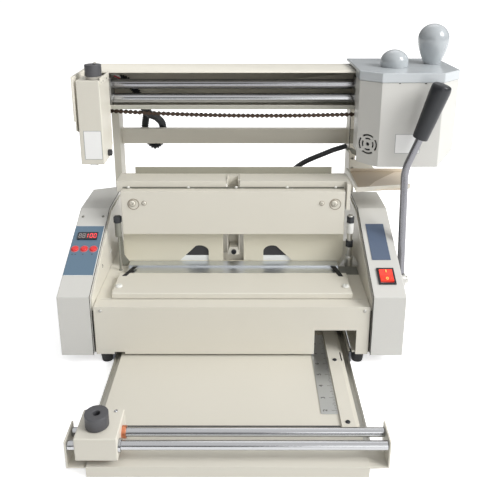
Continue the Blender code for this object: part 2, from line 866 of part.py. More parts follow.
def build_housing(side):
    """One folded side housing, open below; the back of the left one is slanted."""
    name = "left_housing" if side < 0 else "right_housing"
    rear = LEFT_REAR_INNER_Y if side < 0 else HOUSING_REAR_Y
    inner, outer = sorted((side * HOUSING_INNER_X, side * HOUSING_OUTER_X))
    cover = prism(name, "X", housing_outline(rear=rear), inner, outer, GREY)
    hollow = housing_outline(SHEET, -OVERRUN, rear - SHEET)
    tool = prism_tool(name + "_hollow", "X", hollow, inner + SHEET, outer - SHEET)
    bevel(cover, SMALL_BEVEL, 2)
    if side < 0:
        boolean(cover, left_rear_tool("left_rear_wedge"))
        boolean(tool, left_rear_tool("left_hollow_wedge", SHEET))
    boolean(cover, tool)
    return cover


def slope_point(along, lift=0.0):
    """Return Y and Z of a spot on the sloping face of a housing."""
    across = along * math.cos(SLOPE_ANGLE) - lift * math.sin(SLOPE_ANGLE)
    height = along * math.sin(SLOPE_ANGLE) + lift * math.cos(SLOPE_ANGLE)
    return across, HOUSING_FRONT_TOP_Z + height


def slope_box(x0, x1, low, high, under, over):
    """Return the mesh size and place of a box lying on the sloping face."""
    size = (x1 - x0, high - low, over - under)
    across, height = slope_point((low + high) / 2, (under + over) / 2)
    return size, ((x0 + x1) / 2, across, height)


def slope_block(name, planes, coat):
    """Add a flat piece on the sloping face."""
    size, middle = slope_box(*planes)
    item = node(name, block_mesh(name, size), middle, coat)
    item.rotation_euler.x = SLOPE_ANGLE
    return item


def slope_tool(name, planes):
    """Add a tool body that stands square to the sloping face."""
    size, middle = slope_box(*planes)
    item = cutter(name, block_mesh(name, size), middle)
    item.rotation_euler.x = SLOPE_ANGLE
    return item


def build_feet():
    """Four round rubber feet."""
    spots = (
        ("foot_front_left", -FOOT_X, FOOT_FRONT_Y),
        ("foot_front_right", FOOT_X, FOOT_FRONT_Y),
        ("foot_rear_left", -FOOT_X, FOOT_REAR_Y),
        ("foot_rear_right", FOOT_X, FOOT_REAR_Y),
    )
    profile = (
        (FOOT_TOP_RADIUS, FOOT_HEIGHT),
        (FOOT_TOP_RADIUS, FOOT_STEP_Z),
        (FOOT_LOW_RADIUS, TINY_BEVEL),
        (FOOT_LOW_RADIUS - TINY_BEVEL, 0),
    )
    for name, across, along in spots:
        place(revolved(name, profile, (across, along, 0), RUBBER, SMALL_SIDES))


def build_front_panel():
    """The folded panel between the housings, with its two openings."""
    outline = [
        (PANEL_Y, PANEL_BOTTOM_Z),
        (PANEL_Y + SHEET, PANEL_BOTTOM_Z),
        (PANEL_Y + SHEET, PANEL_FOLD_Z - SHEET),
        (PANEL_FLANGE_Y, PANEL_FOLD_Z - SHEET),
        (PANEL_FLANGE_Y, PANEL_FOLD_Z),
        (PANEL_Y, PANEL_FOLD_Z),
    ]
    panel = prism("front_panel", "X", outline, -PANEL_X, PANEL_X, IVORY)
    front, back = PANEL_Y - OVERRUN, PANEL_Y + SHEET + OVERRUN
    planes = (PANEL_NOTCH_X0, PANEL_NOTCH_X1, front, back, 0, PANEL_NOTCH_Z)
    boolean(panel, block_tool("panel_notch", planes))
    planes = (PANEL_SMALL_X0, PANEL_SMALL_X1, front, back, 0, PANEL_SMALL_Z)
    boolean(panel, block_tool("panel_small_notch", planes))
    return panel


def build_deck():
    """The deck that carries the platen and the clamp."""
    low = DECK_Z - SHEET
    planes = (-DECK_X, DECK_X, DECK_FRONT_Y, DECK_REAR_Y, low, DECK_Z)
    deck = block("deck", planes, IVORY)
    for side in (-1, 1):
        near = Vector((side * DECK_SLOT_OUTER_X, DECK_SLOT_FRONT_Y))
        far = Vector((side * DECK_SLOT_INNER_X, DECK_SLOT_REAR_Y))
        along = (far - near).normalized()
        across = Vector((-along.y, along.x)) * DECK_SLOT_WIDTH / 2
        corners = [near - across, near + across, far + across, far - across]
        name = "deck_slot_left" if side < 0 else "deck_slot_right"
        boolean(deck, prism_tool(name, "Z", corners, low - OVERRUN, DECK_Z + OVERRUN))
    return deck


def build_platen():
    """The flat plate at the front of the deck and the stepped strip behind it."""
    planes = (-PLATEN_X, PLATEN_X, PLATEN_FRONT_Y, PLATEN_REAR_Y, DECK_Z + GAP, PLATEN_TOP_Z)
    platen = block("platen", planes, IVORY)
    bevel(platen, SMALL_BEVEL)
    outline = [
        (STRIP_FRONT_Y, DECK_Z + GAP),
        (STRIP_REAR_Y, DECK_Z + GAP),
        (STRIP_REAR_Y, STRIP_TOP_Z),
        (STRIP_STEP_Y, STRIP_TOP_Z),
        (STRIP_STEP_Y, STRIP_LOW_Z),
        (STRIP_FRONT_Y, STRIP_LOW_Z),
    ]
    strip = prism("edge_strip", "X", outline, -STRIP_X, STRIP_X, ALUMINIUM)
    return platen, strip


def fin_outline(side):
    """Return one fin shaped opening of the rear wall, drawn in X and Z."""
    center = (FIN_ARC_X, FIN_ARC_Z)
    points = [(FIN_X0, FIN_BOTTOM_Z)]
    start, end = math.pi, FIN_ARC_END
    for step in range(SMALL_SIDES // 2 + 1):
        angle = start + (end - start) * step * 2 / SMALL_SIDES
        across = center[0] + FIN_RADIUS * math.cos(angle)
        points.append((across, center[1] + FIN_RADIUS * math.sin(angle)))
    points.append((FIN_X1, FIN_BOTTOM_Z))
    return [(side * across, height) for across, height in points]


def build_rear_wall():
    """The upright plate under the clamp, with two fin openings and a middle slot."""
    outline = [
        (-WALL_CHAMFER_X, WALL_BOTTOM_Z),
        (WALL_CHAMFER_X, WALL_BOTTOM_Z),
        (WALL_X, WALL_CHAMFER_Z),
        (WALL_X, WALL_TOP_Z),
        (-WALL_X, WALL_TOP_Z),
        (-WALL_X, WALL_CHAMFER_Z),
    ]
    back = WALL_Y + SHEET
    wall = prism("rear_wall", "Y", outline, WALL_Y, back, GREY)
    for side in (-1, 1):
        name = "fin_left" if side < 0 else "fin_right"
        boolean(wall, prism_tool(name, "Y", fin_outline(side), WALL_Y - OVERRUN, back + OVERRUN))
    slot_top = JAW_BOTTOM_Z + PIN_RADIUS
    planes = (-WALL_SLOT_X, WALL_SLOT_X, WALL_Y - OVERRUN, back + OVERRUN, STRIP_TOP_Z, slot_top)
    boolean(wall, block_tool("wall_slot", planes))
    return wall


def build_support_rail():
    """The folded shelf behind the rear wall on which a book block rests."""
    outline = [
        (RAIL_FRONT_Y, RAIL_LIP_Z),
        (RAIL_FRONT_Y + SHEET, RAIL_LIP_Z),
        (RAIL_FRONT_Y + SHEET, RAIL_TOP_Z - SHEET),
        (RAIL_REAR_Y - SHEET, RAIL_TOP_Z - SHEET),
        (RAIL_REAR_Y - SHEET, RAIL_LIP_Z),
        (RAIL_REAR_Y, RAIL_LIP_Z),
        (RAIL_REAR_Y, RAIL_TOP_Z),
        (RAIL_FRONT_Y, RAIL_TOP_Z),
    ]
    return prism("support_rail", "X", outline, -STRIP_X, STRIP_X, IVORY)


def build_rear_jaw():
    """The fixed jaw: folded channel with its right ear, guard, slit pins and middle notch."""
    outline = [
        (REAR_JAW_Y, REAR_JAW_FOOT_Z),
        (REAR_JAW_Y + SHEET, REAR_JAW_FOOT_Z),
        (REAR_JAW_Y + SHEET, REAR_JAW_TOP_Z - SHEET),
        (REAR_JAW_BACK_Y - SHEET, REAR_JAW_TOP_Z - SHEET),
        (REAR_JAW_BACK_Y - SHEET, REAR_JAW_FOOT_Z),
        (REAR_JAW_BACK_Y, REAR_JAW_FOOT_Z),
        (REAR_JAW_BACK_Y, REAR_JAW_TOP_Z),
        (REAR_JAW_Y, REAR_JAW_TOP_Z),
    ]
    jaw = prism("rear_jaw", "X", outline, -REAR_JAW_X, REAR_JAW_X, IVORY)
    guard_front = REAR_JAW_BACK_Y - SHEET
    planes = (-GUARD_X, GUARD_X, guard_front, REAR_JAW_BACK_Y, REAR_JAW_FOOT_Z, GUARD_TOP_Z)
    boolean(jaw, block_tool("jaw_guard", planes), "UNION")
    planes = (EAR_X, REAR_JAW_X, EAR_FRONT_Y, REAR_JAW_BACK_Y, EAR_BOTTOM_Z, REAR_JAW_TOP_Z)
    boolean(jaw, block_tool("jaw_ear", planes), "UNION")
    for number, across in enumerate(PIN_X):
        center = (across, REAR_JAW_Y, JAW_TOP_Z - PIN_RADIUS - PIN_DROP)
        profile = bar_profile(PIN_RADIUS, -PIN_REACH, SHEET / 2)
        name = f"jaw_pin_{number + 1}"
        boolean(jaw, revolved_tool(name, profile, center, SMALL_SIDES // 2, "Y"), "UNION")
    notch_front = REAR_JAW_Y - OVERRUN
    notch_back = guard_front - OVERRUN
    top = REAR_JAW_TOP_Z + OVERRUN
    planes = (-BRACKET_NOTCH_X, BRACKET_NOTCH_X, notch_front, notch_back, JAW_TOP_Z, top)
    boolean(jaw, block_tool("jaw_notch", planes))
    return jaw


def build_center_bracket():
    """The upright channel in the middle of the clamp with its low lug."""
    sheet = SHEET
    outline = [
        (-BRACKET_X, BRACKET_FRONT_Y),
        (-BRACKET_X + sheet, BRACKET_FRONT_Y),
        (-BRACKET_X + sheet, BRACKET_BACK_Y - sheet),
        (BRACKET_X - sheet, BRACKET_BACK_Y - sheet),
        (BRACKET_X - sheet, BRACKET_FRONT_Y),
        (BRACKET_X, BRACKET_FRONT_Y),
        (BRACKET_X, BRACKET_BACK_Y),
        (-BRACKET_X, BRACKET_BACK_Y),
    ]
    bracket = prism("center_bracket", "Z", outline, BRACKET_LOW_Z, BRACKET_TOP_Z, IVORY)
    lug = [
        (-LUG_LOW_X, BRACKET_LOW_Z),
        (LUG_LOW_X, BRACKET_LOW_Z),
        (LUG_TOP_X, LUG_TOP_Z),
        (-LUG_TOP_X, LUG_TOP_Z),
    ]
    front, back = BRACKET_FRONT_Y - sheet, BRACKET_BACK_Y - sheet / 2
    boolean(bracket, prism_tool("bracket_lug", "Y", lug, front, back), "UNION")
    return bracket


def build_front_jaw():
    """The moving jaw, a folded box open below."""
    planes = (-JAW_X, JAW_X, JAW_FRONT_Y, JAW_REAR_Y, JAW_BOTTOM_Z, JAW_TOP_Z)
    jaw = block("front_jaw", planes, IVORY)
    inner_x = JAW_X - JAW_SHEET
    inner_top = JAW_TOP_Z - JAW_SHEET
    front, back = JAW_FRONT_Y + JAW_SHEET, JAW_REAR_Y - JAW_SHEET
    planes = (-inner_x, inner_x, front, back, JAW_BOTTOM_Z - OVERRUN, inner_top)
    bevel(jaw, TINY_BEVEL)
    boolean(jaw, block_tool("front_jaw_hollow", planes))
    return jaw


def build_adjusters():
    """Upright adjusting screws with nuts and sleeves at both ends of the clamp."""
    places = (("adjuster_left", ADJUSTER_LEFT_X), ("adjuster_right", ADJUSTER_RIGHT_X))
    for name, across in places:
        spot = (across, ADJUSTER_Y, 0)
        place(revolved(name, ADJUSTER_PROFILE, spot, ZINC, ADJUSTER_SIDES))


def build_upright_frame():
    """The two posts with the crossbar between them."""
    planes = (
        -POST_OUTER_X,
        POST_OUTER_X,
        POST_FRONT_Y,
        POST_REAR_Y,
        POST_BOTTOM_Z,
        POST_TOP_Z,
    )
    posts = block("upright_frame", planes, IVORY)
    front, back = POST_FRONT_Y - OVERRUN, POST_REAR_Y + OVERRUN
    inner = POST_INNER_X
    planes = (-inner, inner, front, back, CROSSBAR_TOP_Z, POST_TOP_Z + OVERRUN)
    boolean(posts, block_tool("posts_upper_gap", planes))
    planes = (-inner, inner, front, back, 0, CROSSBAR_LOW_Z)
    boolean(posts, block_tool("posts_lower_gap", planes))
    low, high = CROSSBAR_LOW_Z - OVERRUN, CROSSBAR_TOP_Z + OVERRUN
    planes = (-inner, inner, front, CROSSBAR_FRONT_Y, low, high)
    boolean(posts, block_tool("crossbar_front_gap", planes))
    planes = (-inner, inner, CROSSBAR_REAR_Y, back, low, high)
    boolean(posts, block_tool("crossbar_rear_gap", planes))
    profile = bar_profile(POST_HOLE_RADIUS, front, POST_FRONT_Y + POST_HOLE_DEPTH)
    for number, height in enumerate(POST_HOLE_Z):
        spot = (POST_HOLE_X, 0, height)
        boolean(posts, revolved_tool(f"post_hole_{number + 1}", profile, spot, SMALL_SIDES, "Y"))
    return posts


def build_beam():
    """The channel beam with its welded end plates."""
    web = BEAM_REAR_Y - BEAM_SHEET
    low, high = BEAM_LOW_Z + BEAM_SHEET, BEAM_TOP_Z - BEAM_SHEET
    lip = BEAM_FRONT_Y + BEAM_SHEET
    outline = [
        (BEAM_FRONT_Y, BEAM_LOW_Z),
        (BEAM_REAR_Y, BEAM_LOW_Z),
        (BEAM_REAR_Y, BEAM_TOP_Z),
        (BEAM_FRONT_Y, BEAM_TOP_Z),
        (BEAM_FRONT_Y, high),
        (web, high),
        (web, low),
        (lip, low),
        (lip, BEAM_LIP_Z),
        (BEAM_FRONT_Y, BEAM_LIP_Z),
    ]
    beam = prism("beam", "X", outline, BEAM_X0, BEAM_X1, IVORY)
    plate = [
        (END_FRONT_Y, END_LOW_Z),
        (END_SLOPE_Y, END_SLOPE_Z),
        (BEAM_REAR_Y, END_SLOPE_Z),
        (BEAM_REAR_Y, END_TOP_Z),
        (END_FRONT_Y, END_TOP_Z),
    ]
    tool = prism_tool("end_plate_left", "X", plate, BEAM_X0 - END_THICK, BEAM_X0 + GAP)
    boolean(beam, tool, "UNION")
    planes = (
        BEAM_X1 - GAP,
        BEAM_X1 + END_THICK,
        BEAM_FRONT_Y,
        BEAM_REAR_Y,
        BEAM_LOW_Z,
        BEAM_TOP_Z,
    )
    boolean(beam, block_tool("end_plate_right", planes), "UNION")
    planes = (
        CONDUIT_SLOT_X0,
        CONDUIT_SLOT_X1,
        CONDUIT_SLOT_FRONT_Y,
        CONDUIT_SLOT_REAR_Y,
        BEAM_LOW_Z - OVERRUN,
        low + OVERRUN,
    )
    boolean(beam, block_tool("conduit_slot", planes))
    return beam


def build_rods():
    """The two slide rods of the upper heads."""
    start, end = BEAM_X0 + 2 * GAP, BEAM_X1 - 2 * GAP
    middle = (start + end) / 2
    reach = (end - start) / 2
    profile = bar_profile(ROD_RADIUS, -reach, reach)
    for name, height in (("upper_rod", UPPER_ROD_Z), ("lower_rod", LOWER_ROD_Z)):
        place(revolved(name, profile, (middle, ROD_Y, height), STEEL, ROUND_SIDES, "X"))


def chain_height(share):
    """Return the height of the hanging chain at a share of its length."""
    return CHAIN_END_Z - CHAIN_SAG * (1 - (2 * share - 1) ** 2)


def chain_station(shape, number):
    """Add one cross-section of the chain: two columns of corners at a pin, four elsewhere."""
    full = CHAIN_PLATE_HEIGHT / 2
    waist = full * CHAIN_WAIST_SHARE
    stations = (
        (0, full),
        (CHAIN_ROLLER_SHARE, (full + waist) / 2),
        (0.5, waist),
        (1 - CHAIN_ROLLER_SHARE, (full + waist) / 2),
    )
    link, part = divmod(number, len(stations))
    share, tall = stations[part]
    start, end = BEAM_X0 + 2 * GAP, BEAM_X1 - 2 * GAP
    share = (link + share) / CHAIN_LINKS
    across = start + (end - start) * share
    wide = CHAIN_HALF_WIDTH if link % 2 else CHAIN_HALF_WIDTH - CHAIN_SIDE_STEP
    sides = (-wide, wide) if part == 0 else (-wide, -CHAIN_HOLLOW, CHAIN_HOLLOW, wide)
    middle = chain_height(share)
    return [
        [shape.verts.new((across, CHAIN_Y + side, middle + up)) for side in sides]
        for up in (-tall, tall)
    ]


def build_chain():
    """The roller chain under the beam: figure-eight plates with gaps between the rollers."""
    shape = bmesh.new()
    rows = [chain_station(shape, number) for number in range(CHAIN_LINKS * 4 + 1)]
    for near, far in zip(rows, rows[1:]):
        for edge in (0, -1):
            shape.faces.new((near[0][edge], far[0][edge], far[1][edge], near[1][edge]))
        for level in (0, 1):
            if len(near[level]) == len(far[level]):
                for column in (0, 2):
                    before, after = near[level], far[level]
                    shape.faces.new((*before[column : column + 2], after[column + 1], after[column]))
            else:
                shape.faces.new((*near[level], *reversed(far[level])))
        if len(near[0]) == len(far[0]):
            for column in (1, 2):
                wall = (near[0][column], far[0][column], far[1][column], near[1][column])
                shape.faces.new(wall)
        else:
            open_row = near if len(near[0]) > len(far[0]) else far
            shape.faces.new((*open_row[0][1:3], *reversed(open_row[1][1:3])))
    for row in (rows[0], rows[-1]):
        shape.faces.new((*row[0], *reversed(row[1])))
    face_outward(shape)
    mesh = bpy.data.meshes.new("roller_chain")
    shape.to_mesh(mesh)
    shape.free()
    return node("roller_chain", mesh, (0, 0, 0), CHAIN)


def hose_mesh(name, route, radii, bore, sides):
    """Return a hose with its bore along route as one closed body."""
    shape = bmesh.new()
    outer, inner = [], []
    side = (route[1] - route[0]).orthogonal()
    for index, spot in enumerate(route):
        ahead = route[min(index + 1, len(route) - 1)] - route[max(index - 1, 0)]
        ahead.normalize()
        side = (side - ahead * side.dot(ahead)).normalized()
        rise = ahead.cross(side)
        turns = [FULL_TURN * number / sides for number in range(sides)]
        rays = [side * math.cos(turn) + rise * math.sin(turn) for turn in turns]
        outer.append([shape.verts.new(spot + ray * radii[index]) for ray in rays])
        if index % BORE_SKIP_COUNT == 0 or index == len(route) - 1:
            inner.append([shape.verts.new(spot + ray * bore) for ray in rays])
    rings = outer + list(reversed(inner))
    for near, far in zip(rings, rings[1:] + rings[:1]):
        for number in range(sides):
            after = (number + 1) % sides
            shape.faces.new((near[number], near[after], far[after], far[number]))
    face_outward(shape)
    mesh = bpy.data.meshes.new(name)
    shape.to_mesh(mesh)
    shape.free()
    return smooth(mesh, math.radians(60))


def build_conduit():
    """The corrugated conduit that loops behind the crossbar."""
    route = smooth_route(CONDUIT_POINTS, CONDUIT_PITCH / 2)
    radii = []
    for number in range(len(route)):
        ridge = CONDUIT_RIB / 2 if number % 2 else -CONDUIT_RIB / 2
        radii.append(CONDUIT_RADIUS + ridge)
    mesh = hose_mesh("conduit", route, radii, CONDUIT_BORE, CONDUIT_SIDES)
    return node("conduit", mesh, (0, 0, 0), BLACK)


def build_cable():
    """The black cable from the right bracket down behind the clamp."""
    route = smooth_route(CABLE_POINTS, CABLE_RADIUS * 3)
    mesh = tube_mesh("glue_cable", route, [CABLE_RADIUS] * len(route), TUBE_SEGMENTS)
    return node("glue_cable", mesh, (0, 0, 0), BLACK)


def build_drip_tray():
    """The folded tray under the parked glue unit, on an arm and a plate before the post."""
    lean = (DRIP_CORNER_Y - DRIP_FRONT_Y) / (DRIP_X1 - DRIP_X0)
    outline = [
        (DRIP_X0, DRIP_FRONT_Y),
        (DRIP_X1, DRIP_CORNER_Y),
        (DRIP_REAR_X1, DRIP_REAR_Y),
        (DRIP_X0, DRIP_REAR_Y),
    ]
    tray = prism("drip_tray", "Z", outline, DRIP_FLOOR_Z, DRIP_LIP_Z, IVORY)
    reach = DRIP_REAR_X1 + OVERRUN
    inner = [
        (DRIP_X0 + DRIP_SHEET, DRIP_FRONT_Y + DRIP_SHEET * (1 + lean)),
        (reach, DRIP_FRONT_Y + DRIP_SHEET + lean * (reach - DRIP_X0)),
        (reach, DRIP_REAR_Y + OVERRUN),
        (DRIP_X0 + DRIP_SHEET, DRIP_REAR_Y + OVERRUN),
    ]
    floor_top = DRIP_FLOOR_Z + DRIP_SHEET
    boolean(tray, prism_tool("drip_hollow", "Z", inner, floor_top, DRIP_LIP_Z + OVERRUN))
    plate_rear = POST_FRONT_Y - DRIP_PLATE_GAP
    plate_front = plate_rear - DRIP_SHEET
    arm = [
        (DRIP_REAR_Y - DRIP_SHEET, DRIP_FLOOR_Z),
        (plate_front + DRIP_SHEET / 2, DRIP_FLOOR_Z),
        (plate_front + DRIP_SHEET / 2, DRIP_PLATE_TOP_Z),
        (DRIP_REAR_Y + OVERRUN * 2, DRIP_PLATE_TOP_Z),
    ]
    arm_x = DRIP_ARM_X + DRIP_SHEET
    boolean(tray, prism_tool("drip_arm", "X", arm, DRIP_ARM_X, arm_x), "UNION")
    plate = [
        (DRIP_ARM_X, DRIP_PLATE_LOW_Z),
        (DRIP_PLATE_END_X, DRIP_PLATE_END_Z),
        (DRIP_PLATE_TIP_X, DRIP_PLATE_TIP_Z),
        (DRIP_PLATE_BEND_X, DRIP_PLATE_BEND_Z),
        (DRIP_PLATE_TOP_X, DRIP_PLATE_TOP_Z),
        (DRIP_ARM_X, DRIP_PLATE_TOP_Z),
    ]
    boolean(tray, prism_tool("drip_plate", "Y", plate, plate_front, plate_rear), "UNION")
    profile = bar_profile(POST_HOLE_RADIUS, plate_front - OVERRUN, plate_rear + OVERRUN)
    for number, height in enumerate(POST_HOLE_Z[:2]):
        spot = (POST_HOLE_X, 0, height)
        boolean(tray, revolved_tool(f"plate_hole_{number + 1}", profile, spot, SMALL_SIDES, "Y"))
    return tray


def head_slider(name, x0, x1, neck_x0, neck_x1, neck_front):
    """The block that carries a head on both rods."""
    planes = (x0, x1, SLIDER_FRONT_Y, SLIDER_BACK_Y, SLIDER_LOW_Z, SLIDER_TOP_Z)
    slider = block(name, planes, ZINC)
    for label, height in (("upper", UPPER_ROD_Z), ("lower", LOWER_ROD_Z)):
        reach = (x1 - x0) / 2 + OVERRUN
        profile = bar_profile(ROD_RADIUS + GAP, -reach, reach)
        spot = ((x0 + x1) / 2, ROD_Y, height)
        boolean(slider, revolved_tool(f"{name}_{label}_bore", profile, spot, ROUND_SIDES, "X"))
    neck_back = SLIDER_FRONT_Y + GAP
    planes = (neck_x0, neck_x1, neck_front, neck_back, SLIDER_NECK_LOW_Z, SLIDER_NECK_TOP_Z)
    boolean(slider, block_tool(name + "_neck", planes), "UNION")
    return slider


def build_milling_cover():
    """The tall folded cover of the milling head, open behind and below."""
    outline = [
        (MILL_FRONT_Y, MILL_LOW_Z),
        (MILL_CHAMFER_Y, MILL_LOW_Z),
        (MILL_BACK_Y, MILL_CHAMFER_LOW_Z),
        (MILL_BACK_Y, MILL_CHAMFER_TOP_Z),
        (MILL_CHAMFER_Y, MILL_TOP_Z),
        (MILL_FRONT_Y, MILL_TOP_Z),
    ]
    cover = prism("milling_cover", "X", outline, MILL_X0, MILL_X1, IVORY)
    inner = [
        (MILL_FRONT_Y + MILL_SHEET, MILL_LOW_Z - OVERRUN),
        (MILL_BACK_Y + OVERRUN, MILL_LOW_Z - OVERRUN),
        (MILL_BACK_Y + OVERRUN, MILL_CHAMFER_TOP_Z - MILL_SHEET * 2),
        (MILL_CHAMFER_Y, MILL_TOP_Z - MILL_SHEET),
        (MILL_FRONT_Y + MILL_SHEET, MILL_TOP_Z - MILL_SHEET),
    ]
    start, end = MILL_X0 + MILL_SHEET, MILL_X1 - MILL_SHEET
    bevel(cover, SMALL_BEVEL)
    boolean(cover, prism_tool("milling_hollow", "X", inner, start, end))
    return cover


def knob(name, radius, height, collar, bore, at):
    """A flat knob with a bore in its top face and a collar below."""
    collar_radius, collar_height = collar
    top = collar_height + height
    outline = (
        (radius - KNOB_EDGE, top),
        (radius, top - KNOB_EDGE),
        (radius, collar_height),
        (collar_radius, collar_height - GAP),
        (collar_radius, 0),
    )
    made = revolved(name, outline, at, CHARCOAL)
    bore_radius, depth = bore
    profile = bar_profile(bore_radius, top - depth, top + OVERRUN)
    boolean(made, revolved_tool(name + "_bore", profile, at, SMALL_SIDES))
    return made


def build_cutter():
    """The toothed milling disc on its shaft."""
    corners = (
        (0, CUTTER_RADIUS),
        (CUTTER_FACE_SHARE, CUTTER_RADIUS - CUTTER_TOOTH),
        (CUTTER_BACK_SHARE, CUTTER_RADIUS - CUTTER_TOOTH / 2),
    )
    outline = []
    for tooth in range(CUTTER_TEETH):
        for share, reach in corners:
            angle = FULL_TURN * (tooth + share) / CUTTER_TEETH
            outline.append((reach * math.cos(angle), reach * math.sin(angle)))
    across = (MILL_X0 + MILL_X1) / 2
    mesh = prism_mesh("milling_cutter", "Z", outline, CUTTER_LOW_Z, CUTTER_DISC_TOP_Z)
    middle = (CUTTER_LOW_Z + CUTTER_DISC_TOP_Z) / 2
    disc = node("milling_cutter", mesh, (across, CUTTER_Y, middle), STEEL)
    profile = bar_profile(CUTTER_SHAFT_RADIUS, CUTTER_DISC_TOP_Z - GAP, CUTTER_SHAFT_TOP_Z)
    tool = revolved_tool("cutter_shaft", profile, (across, CUTTER_Y, 0), SMALL_SIDES)
    boolean(disc, tool, "UNION")
    return disc


def glue_outline(inset=0.0, back=GLUE_BACK_Y):
    """Return the plan of the glue cover, drawn in X and Y."""
    return [
        (GLUE_X0 + inset, back),
        (GLUE_X0 + inset, GLUE_LEFT_Y + inset / 2),
        (GLUE_LEFT_X + inset / 2, GLUE_FRONT_Y + inset),
        (GLUE_RIGHT_X - inset / 2, GLUE_FRONT_Y + inset),
        (GLUE_X1 - inset, GLUE_RIGHT_Y + inset / 2),
        (GLUE_X1 - inset, back),
    ]


def ring_slot(radius, quarter):
    """Return the outline of one curved slot, a quarter of a ring less its web."""
    web = VENT_WEB / radius
    first = FULL_TURN * (2 * quarter + 1) / 8 + web / 2
    last = FULL_TURN * (2 * quarter + 3) / 8 - web / 2
    steps = SMALL_SIDES // 3
    inner, outer = [], []
    for step in range(steps + 1):
        angle = first + (last - first) * step / steps
        ray = Vector((math.cos(angle), math.sin(angle)))
        inner.append(tuple(ray * (radius - VENT_SLOT / 2)))
        outer.append(tuple(ray * (radius + VENT_SLOT / 2)))
    return inner + list(reversed(outer))


def cut_vent(cover):
    """Cut the fan grille, a hole and rings of slots, through the left diagonal face."""
    start = Vector((GLUE_X0, GLUE_LEFT_Y))
    end = Vector((GLUE_LEFT_X, GLUE_FRONT_Y))
    middle = (start + end) / 2
    turn = math.atan2(end.y - start.y, end.x - start.x)
    depth = GLUE_SHEET + OVERRUN
    outlines = [circle(VENT_HUB, SMALL_SIDES // 2)]
    outlines += [ring_slot(radius, quarter) for radius in VENT_RADII for quarter in range(4)]
    for number, outline in enumerate(outlines):
        name = f"vent_slot_{number}"
        mesh = prism_mesh(name, "Y", outline, -depth, depth)
        tool = cutter(name, mesh, (middle.x, middle.y, VENT_Z))
        tool.rotation_euler.z = turn
        boolean(cover, tool)


def build_glue_cover():
    """The folded octagonal front cover of the glue unit with its fan grille."""
    cover = prism("glue_cover", "Z", glue_outline(), GLUE_LOW_Z, GLUE_TOP_Z, GREY)
    bevel(cover, TINY_BEVEL)
    inner = glue_outline(GLUE_SHEET, GLUE_BACK_Y + OVERRUN)
    low, high = GLUE_LOW_Z - OVERRUN, GLUE_TOP_Z - GLUE_SHEET
    boolean(cover, prism_tool("glue_hollow", "Z", inner, low, high))
    for side, near, far in ((-1, GLUE_X0, GLUE_LEFT_X), (1, GLUE_X1, GLUE_RIGHT_X)):
        wedge = [
            (near + side * OVERRUN, GLUE_LOW_Z - OVERRUN),
            (far, GLUE_LOW_Z - OVERRUN),
            (far, GLUE_LOW_Z),
            (near, GLUE_CHAMFER_LOW_Z),
            (near + side * OVERRUN, GLUE_CHAMFER_LOW_Z),
        ]
        name = "glue_wedge_left" if side < 0 else "glue_wedge_right"
        tool = prism_tool(name, "Y", wedge, GLUE_FRONT_Y - OVERRUN, GLUE_BACK_Y + OVERRUN)
        boolean(cover, tool)
    cut_vent(cover)
    return cover


def build_cap():
    """The eight sided cap that reaches back over the beam."""
    edge = CAP_OVER
    outline = [
        (GLUE_X0 - edge, CAP_REAR_Y),
        (GLUE_X0 - edge, GLUE_LEFT_Y - edge / 2),
        (GLUE_LEFT_X - edge / 2, GLUE_FRONT_Y - edge),
        (GLUE_RIGHT_X + edge / 2, GLUE_FRONT_Y - edge),
        (GLUE_X1 + edge, GLUE_RIGHT_Y - edge / 2),
        (GLUE_X1 + edge, CAP_RIGHT_REAR_Y),
        (CAP_REAR_RIGHT_X, CAP_REAR_Y),
    ]
    cap = prism("glue_cap", "Z", outline, CAP_LOW_Z, CAP_TOP_Z, COOL)
    bevel(cap, SMALL_BEVEL)
    planes = (
        GLUE_X0 - OVERRUN,
        GLUE_X1 + OVERRUN,
        CAP_BACK_SHEET_Y,
        CAP_REAR_Y + OVERRUN,
        CAP_LOW_Z - OVERRUN,
        CAP_LIFT_Z,
    )
    boolean(cap, block_tool("cap_rear_space", planes))
    inner = glue_outline(GLUE_SHEET, CAP_BACK_SHEET_Y - GLUE_SHEET)
    tool = prism_tool("cap_hollow", "Z", inner, CAP_LOW_Z - OVERRUN, CAP_LIFT_Z)
    boolean(cap, tool)
    return cap


def round_profile(foot, widest, height, low_share, steps):
    """Return an egg profile, from top to bottom."""
    points = []
    for step in range(1, steps + 1):
        angle = math.pi / 2 * step / steps
        rise = height * (1 - low_share) * math.cos(angle)
        points.append((widest * math.sin(angle), height * low_share + rise))
    for step in range(1, steps + 1):
        share = step / steps
        radius = foot + (widest - foot) * math.cos(math.pi / 2 * share)
        points.append((radius, height * low_share * (1 - share)))
    return tuple(points)


def build_handles():
    """The tall egg handle and the low dome on the cap."""
    floor = CAP_TOP_Z + GAP
    steps = SMALL_SIDES // 2
    egg = round_profile(EGG_FOOT_RADIUS, EGG_RADIUS, EGG_HEIGHT, EGG_LOW_SHARE, steps)
    dome_foot = DOME_RADIUS * DOME_FOOT_SHARE
    dome = round_profile(dome_foot, DOME_RADIUS, DOME_HEIGHT, DOME_LOW_SHARE, steps)
    handle = revolved("egg_handle", egg, (EGG_X, EGG_Y, floor), COOL, ROUND_SIDES)
    low = revolved("dome_knob", dome, (DOME_X, DOME_Y, floor), COOL, ROUND_SIDES)
    return handle, low


